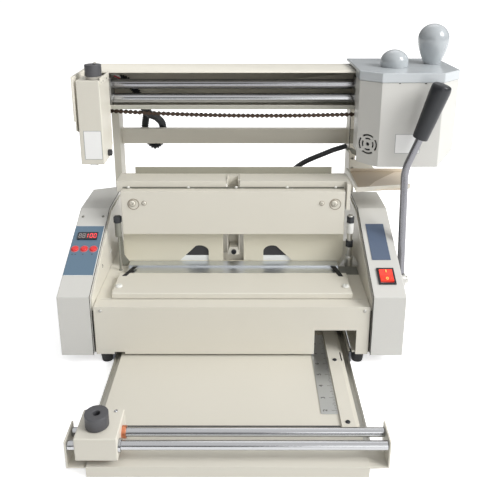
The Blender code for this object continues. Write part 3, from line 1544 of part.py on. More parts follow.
def build_roller():
    """The glue roller, its shaft and the sprocket under the chain."""
    middle = (ROLLER_X, 0, ROLLER_Z)
    edge = SMALL_BEVEL
    profile = bar_profile(ROLLER_RADIUS, ROLLER_FRONT_Y, ROLLER_BACK_Y, edge)
    roller = revolved("glue_roller", profile, middle, STEEL, ROUND_SIDES, "Y")
    profile = bar_profile(ROLLER_SHAFT_RADIUS, ROLLER_BACK_Y - GAP, SPROCKET_FRONT_Y + GAP)
    boolean(roller, revolved_tool("roller_shaft", profile, middle, SMALL_SIDES, "Y"), "UNION")
    corners = [(share, SPROCKET_RADIUS) for share in SPROCKET_TIP_SHARES]
    corners += [(share, SPROCKET_ROOT) for share in SPROCKET_ROOT_SHARES]
    outline = []
    for tooth in range(SPROCKET_TEETH):
        for share, reach in corners:
            angle = FULL_TURN * (tooth + share) / SPROCKET_TEETH
            outline.append((reach * math.cos(angle), reach * math.sin(angle)))
    mesh = prism_mesh("sprocket", "Y", outline, SPROCKET_FRONT_Y, SPROCKET_BACK_Y)
    along = (SPROCKET_FRONT_Y + SPROCKET_BACK_Y) / 2
    boolean(roller, cutter("sprocket", mesh, (ROLLER_X, along, ROLLER_Z)), "UNION")
    return roller


def build_tank():
    """The heated glue tank behind the roller."""
    low = ROLLER_Z + ROLLER_SHAFT_RADIUS + GAP
    high = SLIDER_NECK_LOW_Z - GAP
    planes = (TANK_X0, TANK_X1, TANK_FRONT_Y, TANK_BACK_Y, low, high)
    tank = block("glue_tank", planes, ALUMINIUM)
    inner = (
        TANK_X0 + SHEET,
        TANK_X1 - SHEET,
        TANK_FRONT_Y + SHEET,
        TANK_BACK_Y - SHEET,
        low + SHEET,
        high + OVERRUN,
    )
    boolean(tank, block_tool("tank_hollow", inner))
    return tank


def build_lever():
    """The clamp lever: hub, bent rod and tapered grip."""
    pivot = (LEVER_HUB_X0, LEVER_PIVOT_Y, LEVER_PIVOT_Z)
    width = LEVER_HUB_X1 - LEVER_HUB_X0
    profile = (
        (LEVER_BOLT_RADIUS, width + LEVER_BOLT_REACH),
        (LEVER_BOLT_RADIUS, width),
        (LEVER_HUB_RADIUS - SMALL_BEVEL, width),
        (LEVER_HUB_RADIUS, width - SMALL_BEVEL),
        (LEVER_HUB_RADIUS, 0),
    )
    hub = revolved("lever_hub", profile, pivot, ZINC, ROUND_SIDES, "X")
    foot = Vector((LEVER_X, LEVER_PIVOT_Y, LEVER_PIVOT_Z))
    bend = Vector((LEVER_X, LEVER_BEND_Y, LEVER_BEND_Z))
    grip_foot = Vector(LEVER_GRIP_FOOT)
    grip_head = Vector(LEVER_GRIP_HEAD)
    lower = (bend - foot).normalized()
    upper = (grip_head - grip_foot).normalized()
    start = foot + lower * (LEVER_HUB_RADIUS + GAP * 2)
    end = grip_foot + upper * (GRIP_BORE_DEPTH - GAP * 2)
    route = [start]
    steps = SMALL_SIDES // 2
    first = bend - lower * LEVER_BEND_REACH
    last = bend + (grip_foot - bend).normalized() * LEVER_BEND_REACH
    for step in range(steps + 1):
        share = step / steps
        one, two = first.lerp(bend, share), bend.lerp(last, share)
        route.append(one.lerp(two, share))
    route += [grip_foot, end]
    mesh = tube_mesh("lever_rod", route, [LEVER_ROD_RADIUS] * len(route), TUBE_SEGMENTS)
    rod = node("lever_rod", mesh, (0, 0, 0), STEEL)
    length = (grip_head - grip_foot).length
    profile = (
        (GRIP_TOP_RADIUS - GRIP_EDGE * 2, length),
        (GRIP_TOP_RADIUS - GRIP_EDGE / 2, length - GRIP_EDGE / 2),
        (GRIP_TOP_RADIUS, length - GRIP_EDGE * 2),
        (GRIP_LOW_RADIUS, GRIP_WALL),
        (GRIP_LOW_RADIUS - GRIP_WALL, 0),
    )
    grip = revolved("lever_grip", profile, grip_foot, BLACK, ROUND_SIDES)
    grip.rotation_mode = "QUATERNION"
    grip.rotation_quaternion = upper.to_track_quat("Z", "Y")
    bore = bar_profile(LEVER_ROD_RADIUS + GAP, -OVERRUN, GRIP_BORE_DEPTH)
    tool = revolved_tool("grip_bore", bore, grip_foot, ROUND_SIDES)
    tool.rotation_mode = "QUATERNION"
    tool.rotation_quaternion = upper.to_track_quat("Z", "Y")
    boolean(grip, tool)
    return hub, rod, grip


def build_tray():
    """The pulled out side gluing tray, open below and at the back."""
    planes = (-TRAY_X, TRAY_X, TRAY_FRONT_Y, TRAY_REAR_Y, TRAY_LOW_Z, TRAY_TOP_Z)
    tray = block("tray", planes, IVORY)
    inner_x = TRAY_X - TRAY_SHEET
    planes = (
        -inner_x,
        inner_x,
        TRAY_FRONT_Y + TRAY_SHEET,
        TRAY_REAR_Y + OVERRUN,
        -OVERRUN,
        TRAY_TOP_Z - TRAY_SHEET,
    )
    boolean(tray, block_tool("tray_hollow", planes))
    reach = CREASER_X + OVERRUN
    planes = (
        -reach,
        reach,
        CREASER_FRONT_Y - GAP,
        CREASER_REAR_Y + GAP,
        CREASER_FLOOR_Z - GAP,
        CREASER_FLOOR_Z + CREASER_SHEET + GAP,
    )
    boolean(tray, block_tool("tray_side_notches", planes))
    return tray


def build_ruler():
    """The steel ruler and the guide strip on the tray."""
    low = TRAY_TOP_Z + GAP
    planes = (RULER_X0, RULER_X1, RULER_FRONT_Y, RULER_REAR_Y, low, low + RULER_THICK)
    ruler = block("ruler", planes, ALUMINIUM)
    corner = GUIDE_CORNER
    outline = [
        (GUIDE_X0, GUIDE_REAR_Y),
        (GUIDE_X0, GUIDE_FRONT_Y + corner),
        (GUIDE_X0 + corner / 3, GUIDE_FRONT_Y + corner / 3),
        (GUIDE_X0 + corner, GUIDE_FRONT_Y),
        (GUIDE_X1 - corner, GUIDE_FRONT_Y),
        (GUIDE_X1 - corner / 3, GUIDE_FRONT_Y + corner / 3),
        (GUIDE_X1, GUIDE_FRONT_Y + corner),
        (GUIDE_X1, GUIDE_REAR_Y),
    ]
    guide = prism("guide_strip", "Z", outline, low, low + GUIDE_THICK, IVORY)
    return ruler, guide


def build_slides():
    """The grooved drawer slides on both sides of the tray."""
    made = []
    for side in (-1, 1):
        inner, outer = side * SLIDE_X0, side * SLIDE_X1
        low, high = SLIDE_LOW_Z, SLIDE_TOP_Z
        depth = side * SLIDE_GROOVE
        third = (high - low) / 3
        outline = [
            (inner, low),
            (outer, low),
            (outer, low + third),
            (outer - depth, low + third),
            (outer - depth, high - third),
            (outer, high - third),
            (outer, high),
            ((inner + outer) / 2 + depth, high),
            ((inner + outer) / 2 + depth, high - SLIDE_GROOVE),
            ((inner + outer) / 2 - depth, high - SLIDE_GROOVE),
            ((inner + outer) / 2 - depth, high),
            (inner, high),
        ]
        name = "slide_left" if side < 0 else "slide_right"
        made.append(prism(name, "Y", outline, SLIDE_FRONT_Y, SLIDE_REAR_Y, ZINC))
    return made


def build_creaser_base():
    """The strip under the tray top with its two upright end brackets."""
    outline = [
        (-CREASER_X, CREASER_FLOOR_Z),
        (CREASER_X, CREASER_FLOOR_Z),
        (CREASER_X, CREASER_TOP_Z),
        (CREASER_X - CREASER_SHEET, CREASER_TOP_Z),
        (CREASER_X - CREASER_SHEET, CREASER_FLOOR_Z + CREASER_SHEET),
        (-CREASER_X + CREASER_SHEET, CREASER_FLOOR_Z + CREASER_SHEET),
        (-CREASER_X + CREASER_SHEET, CREASER_TOP_Z),
        (-CREASER_X, CREASER_TOP_Z),
    ]
    front, back = CREASER_FRONT_Y + TRAY_SHEET, CREASER_REAR_Y
    return prism("creaser_base", "Y", outline, front, back, IVORY)


def build_creaser_rods():
    """The two rods between the end brackets."""
    reach = CREASER_X - CREASER_SHEET - GAP
    profile = bar_profile(CREASER_ROD_RADIUS, -reach, reach)
    made = []
    for name, along in (
        ("creaser_front_rod", CREASER_FRONT_ROD_Y),
        ("creaser_rear_rod", CREASER_REAR_ROD_Y),
    ):
        spot = (0, along, CREASER_ROD_Z)
        made.append(revolved(name, profile, spot, STEEL, ROUND_SIDES, "X"))
    return made


def build_creaser_block():
    """The folded carriage that slides on both rods, open below."""
    planes = (BLOCK_X0, BLOCK_X1, BLOCK_FRONT_Y, BLOCK_REAR_Y, BLOCK_LOW_Z, BLOCK_TOP_Z)
    carriage = block("creaser_block", planes, IVORY)
    bevel(carriage, SMALL_BEVEL)
    sheet = BLOCK_SHEET
    planes = (
        BLOCK_X0 + sheet,
        BLOCK_X1 - sheet,
        BLOCK_FRONT_Y + sheet,
        BLOCK_REAR_Y - sheet,
        BLOCK_LOW_Z - OVERRUN,
        BLOCK_TOP_Z - sheet,
    )
    boolean(carriage, block_tool("creaser_hollow", planes))
    middle = (BLOCK_X0 + BLOCK_X1) / 2
    reach = (BLOCK_X1 - BLOCK_X0) / 2 + OVERRUN
    holes = (
        ("creaser_front_hole", CREASER_FRONT_ROD_Y, CREASER_ROD_RADIUS + BLOCK_HOLE_GAP),
        ("creaser_rear_hole", CREASER_REAR_ROD_Y, BUSH_RADIUS + GAP),
    )
    for name, along, radius in holes:
        profile = bar_profile(radius, -reach, reach)
        spot = (middle, along, CREASER_ROD_Z)
        boolean(carriage, revolved_tool(name, profile, spot, ROUND_SIDES, "X"))
    return carriage


def build_creaser_bush():
    """The copper coloured bush of the carriage on the rear rod."""
    start, end = BLOCK_X0 + BLOCK_SHEET / 2, BUSH_X1
    spot = ((start + end) / 2, CREASER_REAR_ROD_Y, CREASER_ROD_Z)
    reach = (end - start) / 2
    bush = revolved("creaser_bush", bar_profile(BUSH_RADIUS, -reach, reach), spot, COPPER, axis="X")
    bore = bar_profile(CREASER_ROD_RADIUS + GAP, -reach - OVERRUN, reach + OVERRUN)
    boolean(bush, revolved_tool("bush_bore", bore, spot, ROUND_SIDES, "X"))
    return bush


def build_creasing_wheel():
    """The creasing wheel under the carriage, turning on a pin along Y."""
    wall = BLOCK_REAR_Y - BLOCK_SHEET - GAP
    profile = (
        (WHEEL_PIN_RADIUS, wall),
        (WHEEL_PIN_RADIUS, WHEEL_BACK_Y),
        (WHEEL_RADIUS - WHEEL_EDGE, WHEEL_BACK_Y),
        (WHEEL_RADIUS, (WHEEL_FRONT_Y + WHEEL_BACK_Y) / 2),
        (WHEEL_RADIUS - WHEEL_EDGE, WHEEL_FRONT_Y),
    )
    return revolved("creasing_wheel", profile, (WHEEL_X, 0, WHEEL_Z), STEEL, SMALL_SIDES, "Y")


def build_control_plate():
    """The blue grey film on the left slope with its display and three buttons."""
    planes = (PANEL_LEFT_X0, PANEL_LEFT_X1, PANEL_LEFT_LOW, PANEL_LEFT_HIGH, GAP, PLATE_THICK)
    plate = slope_block("control_plate", planes, BLUE)
    low = PLATE_THICK + GAP
    planes = (DISPLAY_X0, DISPLAY_X1, DISPLAY_LOW, DISPLAY_HIGH, low, low + DISPLAY_THICK)
    slope_block("display", planes, SMOKE)
    made = []
    for number, across in enumerate(BUTTON_X):
        name = f"button_{number + 1}"
        along, height = slope_point(BUTTON_ALONG)
        foot = BUTTON_WELL_GAP - BUTTON_WELL_DEPTH + BUTTON_TRAVEL
        profile = (
            (BUTTON_RADIUS - BUTTON_EDGE, BUTTON_HEIGHT),
            (BUTTON_RADIUS, BUTTON_HEIGHT - BUTTON_EDGE),
            (BUTTON_RADIUS, foot),
        )
        button = revolved(name, profile, (across, along, height), RED, SMALL_SIDES)
        button.rotation_euler.x = SLOPE_ANGLE
        made.append(button)
        well = bar_profile(BUTTON_RADIUS + BUTTON_WELL_GAP, -BUTTON_WELL_DEPTH, OVERRUN)
        for target, label in ((plate, "plate"), (bpy.data.objects["left_housing"], "cover")):
            tool = revolved_tool(f"{name}_{label}_well", well, (across, along, height), SMALL_SIDES)
            tool.rotation_euler.x = SLOPE_ANGLE
            boolean(target, tool)
    return plate, made


def build_switch():
    """The right hand plate and the power rocker in its bezel."""
    planes = (INFO_X0, INFO_X1, INFO_LOW, INFO_HIGH, GAP, PLATE_THICK)
    slope_block("info_plate", planes, BLUE)
    planes = (BEZEL_X0, BEZEL_X1, BEZEL_LOW, BEZEL_HIGH, GAP, BEZEL_THICK)
    bezel = slope_block("switch_bezel", planes, BLACK)
    rim = BEZEL_RIM
    inner = (BEZEL_X0 + rim, BEZEL_X1 - rim, BEZEL_LOW + rim, BEZEL_HIGH - rim)
    planes = (*inner, -OVERRUN, BEZEL_THICK + OVERRUN)
    boolean(bezel, slope_tool("bezel_opening", planes))
    planes = (*inner, -BEZEL_DEPTH, OVERRUN)
    boolean(bpy.data.objects["right_housing"], slope_tool("bezel_well", planes))
    gap = ROCKER_GAP
    along = (BEZEL_LOW + BEZEL_HIGH) / 2
    half = (BEZEL_HIGH - BEZEL_LOW) / 2 - rim - gap
    tilt = math.radians(ROCKER_TILT)
    rise = half * math.tan(tilt)
    outline = [
        (-half + rise, -ROCKER_DEPTH),
        (half - rise, -ROCKER_DEPTH),
        (half - rise / 2, BEZEL_THICK + ROCKER_RISE - rise),
        (0, BEZEL_THICK + ROCKER_RISE - rise * 1.5),
        (-half + rise / 2, BEZEL_THICK + ROCKER_RISE - rise),
    ]
    start, end = BEZEL_X0 + rim + gap, BEZEL_X1 - rim - gap
    mesh = prism_mesh("rocker", "X", outline, start, end)
    across, height = slope_point(along)
    rocker = node("rocker", mesh, ((start + end) / 2, across, height), ROCKER_RED)
    rocker.rotation_euler.x = SLOPE_ANGLE
    return rocker


def build_all():
    """Build every piece and hang the fixed ones on the machine datum."""
    build_base_frame()
    build_housing(-1)
    build_housing(1)
    build_feet()
    build_front_panel()
    build_deck()
    build_platen()
    build_rear_wall()
    build_support_rail()
    build_rear_jaw()
    build_center_bracket()
    build_front_jaw()
    build_adjusters()
    build_upright_frame()
    build_beam()
    build_rods()
    build_chain()
    build_conduit()
    build_cable()
    build_drip_tray()
    build_milling_cover()
    inset = MILL_SHEET + GAP
    head_slider(
        "milling_slider",
        MILL_X0,
        MILL_X1,
        MILL_X0 + inset,
        MILL_X1 - inset,
        SLIDER_NECK_FRONT_Y,
    )
    knob(
        "depth_knob",
        MILL_KNOB_RADIUS,
        MILL_KNOB_HEIGHT,
        (MILL_COLLAR_RADIUS, MILL_COLLAR_HEIGHT),
        (MILL_BORE_RADIUS, MILL_BORE_DEPTH),
        (MILL_KNOB_X, MILL_KNOB_Y, MILL_TOP_Z + GAP),
    )
    build_cutter()
    build_glue_cover()
    build_cap()
    build_handles()
    head_slider(
        "glue_slider",
        GLUE_SLIDER_X0,
        GLUE_SLIDER_X1,
        GLUE_LEFT_X + OVERRUN,
        GLUE_RIGHT_X - OVERRUN,
        GLUE_FRONT_Y + GLUE_SHEET + GAP,
    )
    build_tank()
    build_roller()
    build_lever()
    build_tray()
    build_ruler()
    build_slides()
    build_creaser_base()
    build_creaser_rods()
    build_creaser_block()
    build_creaser_bush()
    knob(
        "creaser_knob",
        KNOB_RADIUS,
        KNOB_HEIGHT,
        (KNOB_RADIUS - KNOB_EDGE, GAP * 2),
        (KNOB_BORE_RADIUS, KNOB_BORE_DEPTH),
        (KNOB_X, KNOB_Y, KNOB_LOW_Z),
    )
    build_creasing_wheel()
    build_control_plate()
    build_switch()


def group(name, at, names, parent=None):
    """Hang the pieces that move together on one empty on their joint."""
    holder = bpy.data.objects.new(name, None)
    PARTS.objects.link(holder)
    holder.location = at
    place(holder, parent)
    for piece in names:
        place(bpy.data.objects[piece], holder)
    return holder


def build_groups():
    """Gather every moving body on an empty of its own."""
    tray_names = (
        "tray",
        "ruler",
        "guide_strip",
        "slide_left",
        "slide_right",
        "creaser_base",
        "creaser_front_rod",
        "creaser_rear_rod",
    )
    tray = group("tray_group", (0, TRAY_FRONT_Y, TRAY_LOW_Z), tray_names)
    carriage_names = ("creaser_block", "creaser_bush", "creaser_knob", "creasing_wheel")
    spot = (KNOB_X, CREASER_REAR_ROD_Y, CREASER_ROD_Z)
    group("creaser_group", spot, carriage_names, tray)
    lever_names = ("lever_hub", "lever_rod", "lever_grip")
    group("lever_group", (LEVER_X, LEVER_PIVOT_Y, LEVER_PIVOT_Z), lever_names)
    across = (MILL_X0 + MILL_X1) / 2
    milling_names = ("milling_cover", "milling_slider", "depth_knob", "milling_cutter")
    group("milling_group", (across, ROD_Y, UPPER_ROD_Z), milling_names)
    glue_names = (
        "glue_cover",
        "glue_cap",
        "glue_slider",
        "glue_tank",
        "glue_roller",
        "egg_handle",
        "dome_knob",
    )
    group("glue_group", (ROLLER_X, ROD_Y, UPPER_ROD_Z), glue_names)


build_all()
build_groups()
for piece in [*PARTS.objects, *CUTTERS.objects]:
    if piece is not ROOT and piece.parent is None:
        place(piece)
ROOT.location = ORIGIN
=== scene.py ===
import math
import bpy
import bmesh
from mathutils import Matrix, Vector


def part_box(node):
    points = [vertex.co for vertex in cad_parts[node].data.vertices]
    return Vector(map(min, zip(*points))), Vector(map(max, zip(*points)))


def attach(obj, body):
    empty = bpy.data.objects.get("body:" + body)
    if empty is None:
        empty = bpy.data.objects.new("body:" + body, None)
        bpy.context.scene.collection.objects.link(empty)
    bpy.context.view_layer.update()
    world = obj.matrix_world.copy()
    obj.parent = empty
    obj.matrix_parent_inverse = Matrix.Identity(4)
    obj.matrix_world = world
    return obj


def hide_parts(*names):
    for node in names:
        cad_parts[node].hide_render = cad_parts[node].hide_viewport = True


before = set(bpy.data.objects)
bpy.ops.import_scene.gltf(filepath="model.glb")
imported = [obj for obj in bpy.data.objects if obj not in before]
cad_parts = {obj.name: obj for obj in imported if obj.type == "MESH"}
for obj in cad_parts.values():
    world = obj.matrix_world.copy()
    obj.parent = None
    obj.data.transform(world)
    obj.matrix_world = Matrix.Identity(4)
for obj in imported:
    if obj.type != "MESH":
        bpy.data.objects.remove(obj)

for spare in ("Cube", "Light", "Camera"):
    if spare in bpy.data.objects:
        bpy.data.objects.remove(bpy.data.objects[spare])
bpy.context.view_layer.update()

# The machine datum: X from its middle, Y from the front of the housings, Z from the table
baseLow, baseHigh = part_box("base_frame")
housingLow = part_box("left_housing")[0]
datum = Vector(((baseLow.x + baseHigh.x) / 2, housingLow.y, 0))
slope = {"frontZ": 0.1175, "rearZ": 0.1918, "depth": 0.1640}
slopeAngle = math.atan2(slope["rearZ"] - slope["frontZ"], slope["depth"])
fullTurn = 2 * math.pi
plain = Matrix.Identity(4)


def at(x, y, z):
    return Vector((x, y, z)) + datum


def srgb(red, green, blue):
    values = []
    for level in (red, green, blue):
        share = level / 255
        values.append(share / 12.92 if share <= 0.04045 else ((share + 0.055) / 1.055) ** 2.4)
    return (*values, 1.0)


# Shader groups
def makeGroup(name, inputs, outputs):
    group = bpy.data.node_groups.new(name, "ShaderNodeTree")
    for label, kind, value in inputs:
        socket = group.interface.new_socket(name=label, in_out="INPUT", socket_type=kind)
        socket.default_value = value
    for label, kind in outputs:
        group.interface.new_socket(name=label, in_out="OUTPUT", socket_type=kind)
    return group, group.nodes.new("NodeGroupInput"), group.nodes.new("NodeGroupOutput")


def addNode(tree, kind, **values):
    # A node with its plain settings; sockets are set and linked by the caller
    node = tree.nodes.new(kind)
    for label, value in values.items():
        setattr(node, label, value)
    return node


def feed(tree, socket, value):
    # Sets a socket to a value, or links another socket to it
    if isinstance(value, bpy.types.NodeSocket):
        tree.links.new(value, socket)
    else:
        socket.default_value = value


def addNoise(group, source, scale, detail=2.0, rough=0.5):
    noise = addNode(group, "ShaderNodeTexNoise")
    inputs = {"Detail": detail, "Roughness": rough, "Vector": source, "Scale": scale}
    for label, value in inputs.items():
        feed(group, noise.inputs[label], value)
    return noise.outputs["Fac"]


def addMath(group, operation, first, second, clamp=False):
    step = addNode(group, "ShaderNodeMath", operation=operation, use_clamp=clamp)
    feed(group, step.inputs[0], first)
    feed(group, step.inputs[1], second)
    return step.outputs[0]


def addVectorMath(group, operation, first, second):
    step = addNode(group, "ShaderNodeVectorMath", operation=operation)
    feed(group, step.inputs[0], first)
    feed(group, step.inputs[1], second)
    return step


def tintByShare(group, color, share, amount):
    # Moves a colour's value up and down by amount around one
    centred = addMath(group, "SUBTRACT", share, 0.5)
    moved = addMath(group, "ADD", addMath(group, "MULTIPLY", centred, amount), 1.0)
    tint = addNode(group, "ShaderNodeHueSaturation")
    feed(group, tint.inputs["Value"], moved)
    feed(group, tint.inputs["Color"], color)
    return tint.outputs["Color"]


# Rounded edge normals from a bevel, and a patchy mask that paints a lighter highlight along edges
def softEdgeGroup():
    look = {"samples": 6, "patchScale": 160.0, "patchDetail": 3.0}
    inputs = (("Radius", "NodeSocketFloat", 0.0006), ("Gain", "NodeSocketFloat", 3.0))
    outputs = (("Normal", "NodeSocketVector"), ("Mask", "NodeSocketFloat"))
    group, entry, leave = makeGroup("softEdge", inputs, outputs)
    bevel = addNode(group, "ShaderNodeBevel", samples=look["samples"])
    feed(group, bevel.inputs["Radius"], entry.outputs["Radius"])
    geometry = addNode(group, "ShaderNodeNewGeometry")
    turned = bevel.outputs["Normal"]
    dot = addVectorMath(group, "DOT_PRODUCT", turned, geometry.outputs["Normal"])
    away = addMath(group, "SUBTRACT", 1.0, dot.outputs["Value"])
    patchy = addNoise(group, geometry.outputs["Position"], look["patchScale"], look["patchDetail"])
    gained = addMath(group, "MULTIPLY", away, entry.outputs["Gain"])
    feed(group, leave.inputs["Normal"], turned)
    feed(group, leave.inputs["Mask"], addMath(group, "MULTIPLY", gained, patchy, clamp=True))
    return group


def skinGroup(name, scales, detail):
    # Three noises: a fine one for height, a middle one for gloss and a broad one for tone
    inputs = (
        ("Color", "NodeSocketColor", (0.5, 0.5, 0.5, 1.0)),
        ("Variation", "NodeSocketFloat", 0.04),
        ("Fine Scale", "NodeSocketFloat", scales[0]),
        ("Stretch", "NodeSocketVector", (1.0, 1.0, 1.0)),
    )
    outputs = (
        ("Color", "NodeSocketColor"),
        ("Gloss", "NodeSocketFloat"),
        ("Height", "NodeSocketFloat"),
    )
    group, entry, leave = makeGroup(name, inputs, outputs)
    place = addNode(group, "ShaderNodeTexCoord").outputs["Object"]
    stretched = addVectorMath(group, "MULTIPLY", place, entry.outputs["Stretch"]).outputs["Vector"]
    fine = addNoise(group, stretched, entry.outputs["Fine Scale"], detail)
    middle = addNoise(group, stretched, scales[1], 3.0, 0.6)
    broad = addNoise(group, place, scales[2], 2.0)
    color = tintByShare(group, entry.outputs["Color"], broad, entry.outputs["Variation"])
    feed(group, leave.inputs["Color"], color)
    feed(group, leave.inputs["Gloss"], middle)
    feed(group, leave.inputs["Height"], fine)
    return group


softEdge = softEdgeGroup()
skins = {
    "enamel": skinGroup("enamelSkin", (900.0, 45.0, 7.0), 1.5),
    "metal": skinGroup("metalGrain", (700.0, 160.0, 12.0), 4.0),
    "plastic": skinGroup("mouldedSkin", (2200.0, 70.0, 9.0), 2.0),
}

# Finishes: color is in sRGB levels, rough has its middle and its spread; edge gives the radius, strength and
# colour of a painted highlight along edges
ivory = {"kind": "enamel", "color": (214, 210, 198), "rough": (0.42, 0.10), "bump": 0.00006}
grey = {"kind": "enamel", "color": (205, 204, 199), "rough": (0.40, 0.10), "bump": 0.00006}
cool = {"kind": "plastic", "color": (192, 197, 200), "rough": (0.24, 0.06), "bump": 0.00001}
steel = {"kind": "metal", "color": (176, 177, 179), "rough": (0.16, 0.08), "bump": 0.00001}
zinc = {"kind": "metal", "color": (188, 187, 182), "rough": (0.36, 0.16), "bump": 0.00003}
aluminium = {"kind": "metal", "color": (214, 217, 220), "rough": (0.34, 0.12), "bump": 0.00002}
black = {"kind": "plastic", "color": (24, 27, 32), "rough": (0.38, 0.12), "bump": 0.00003}
charcoal = {"kind": "plastic", "color": (74, 74, 77), "rough": (0.44, 0.10), "bump": 0.00005}
rubber = {"kind": "plastic", "color": (30, 30, 31), "rough": (0.75, 0.10), "bump": 0.00006}
oiled = {"kind": "metal", "color": (66, 54, 46), "rough": (0.36, 0.16), "bump": 0.00003}
film = {"kind": "plastic", "color": (86, 113, 134), "rough": (0.32, 0.06), "bump": 0.00001}
window = {"kind": "plastic", "color": (38, 18, 18), "rough": (0.14, 0.05), "bump": 0.00001}
redKey = {"kind": "plastic", "color": (224, 40, 42), "rough": (0.32, 0.08), "bump": 0.00001}
redGlow = {"kind": "plastic", "color": (232, 52, 34), "rough": (0.24, 0.06), "bump": 0.00001}
copper = {"kind": "metal", "color": (214, 138, 104), "rough": (0.34, 0.12), "bump": 0.00002}
finishSettings = {
    "ivory_enamel": {**ivory, "vary": 0.05, "edge": (0.0008, 0.35, (232, 228, 217))},
    "grey_enamel": {**grey, "vary": 0.05, "edge": (0.0010, 0.35, (228, 226, 220))},
    "cool_grey_plastic": {**cool, "vary": 0.04, "edge": (0.0012, 0.25, (206, 212, 215)), "coat": 0.3},
    "polished_steel": {**steel, "vary": 0.06, "stretch": (0.05, 1.0, 1.0), "metal": 1.0},
    "zinc_plate": {**zinc, "vary": 0.10, "metal": 1.0, "edge": (0.0004, 0.5, (222, 221, 217))},
    "aluminium_strip": {**aluminium, "vary": 0.06, "stretch": (0.04, 1.0, 1.0), "metal": 1.0},
    "black_plastic": {**black, "vary": 0.10, "edge": (0.0006, 0.3, (60, 62, 68))},
    "charcoal_knob": {**charcoal, "vary": 0.08, "edge": (0.0006, 0.4, (118, 118, 120))},
    "black_rubber": {**rubber, "vary": 0.12, "edge": (0.0006, 0.3, (66, 66, 66))},
    "oiled_chain": {**oiled, "vary": 0.30, "metal": 0.85},
    "blue_grey_film": {**film, "vary": 0.04, "edge": (0.0003, 0.4, (150, 166, 178)), "coat": 0.4},
    "display_window": {**window, "vary": 0.05, "coat": 0.8},
    "red_button": {**redKey, "vary": 0.06, "coat": 0.4, "edge": (0.0005, 0.4, (236, 120, 118))},
    "red_rocker": {**redGlow, "vary": 0.06, "coat": 0.6, "glow": 0.35},
    "copper_bush": {**copper, "vary": 0.10, "metal": 1.0, "edge": (0.0004, 0.4, (236, 178, 150))},
    "litSegment": {**redGlow, "color": (250, 62, 72), "vary": 0.02, "glow": 0.8},
    "dimSegment": {**cool, "color": (150, 144, 144), "vary": 0.02},
    "darkMark": {**black, "color": (44, 44, 46), "vary": 0.04},
    "deepHole": {**rubber, "color": (14, 14, 15), "vary": 0.05},
    "blankLabel": {**cool, "color": (240, 240, 238), "rough": (0.50, 0.05), "vary": 0.02},
    "labelRim": {**cool, "color": (150, 152, 152), "rough": (0.50, 0.05), "vary": 0.02},
    "whiteSleeve": {**cool, "color": (226, 226, 222), "rough": (0.45, 0.08), "vary": 0.04},
    "redWire": {**redKey, "color": (196, 74, 80), "vary": 0.05},
    "darkChrome": {**steel, "color": (126, 126, 130), "rough": (0.22, 0.06), "vary": 0.06, "metal": 1.0},
    "shadedSteel": {**steel, "color": (146, 146, 149), "rough": (0.18, 0.06), "vary": 0.06, "metal": 1.0},
    "greyGreen": {**ivory, "color": (150, 148, 134), "vary": 0.05},
    "slateFilm": {**film, "color": (88, 102, 124), "vary": 0.04, "coat": 0.4},
    "wallEnamel": {**grey, "color": (208, 203, 184), "vary": 0.08},
    "ringShade": {**ivory, "color": (150, 140, 124), "vary": 0.08},
    "brightScrew": {**cool, "color": (224, 224, 218), "rough": (0.30, 0.08), "vary": 0.05},
    "gripGrey": {**cool, "color": (172, 177, 180), "rough": (0.20, 0.05), "vary": 0.04, "coat": 0.3},
    "clampGrey": {**grey, "color": (126, 126, 117), "vary": 0.10},
    "paintedLightPale": {**ivory, "color": (238, 233, 220), "vary": 0.04},
    "paintedShadeGreen": {**ivory, "color": (166, 165, 154), "vary": 0.16, "stretch": (0.2, 1.0, 1.0)},
    "stainedEnamel": {**ivory, "color": (184, 168, 144), "vary": 0.22},
    "paleStain": {**ivory, "color": (222, 208, 188), "vary": 0.14},
    "keyRim": {**redKey, "color": (214, 120, 122), "vary": 0.05},
    "glowMark": {**redGlow, "color": (255, 170, 90), "vary": 0.02, "glow": 0.8},
    "innerDark": {**rubber, "color": (52, 52, 54), "vary": 0.10},
    "knobCollar": {**cool, "color": (166, 162, 154), "rough": (0.45, 0.08), "vary": 0.05},
    "channelSteel": {**zinc, "color": (86, 88, 92), "vary": 0.10, "metal": 1.0},
    "filmEdge": {**cool, "color": (226, 228, 226), "vary": 0.02},
}


edgeHighlightGain = 8
coatRoughness = 0.12


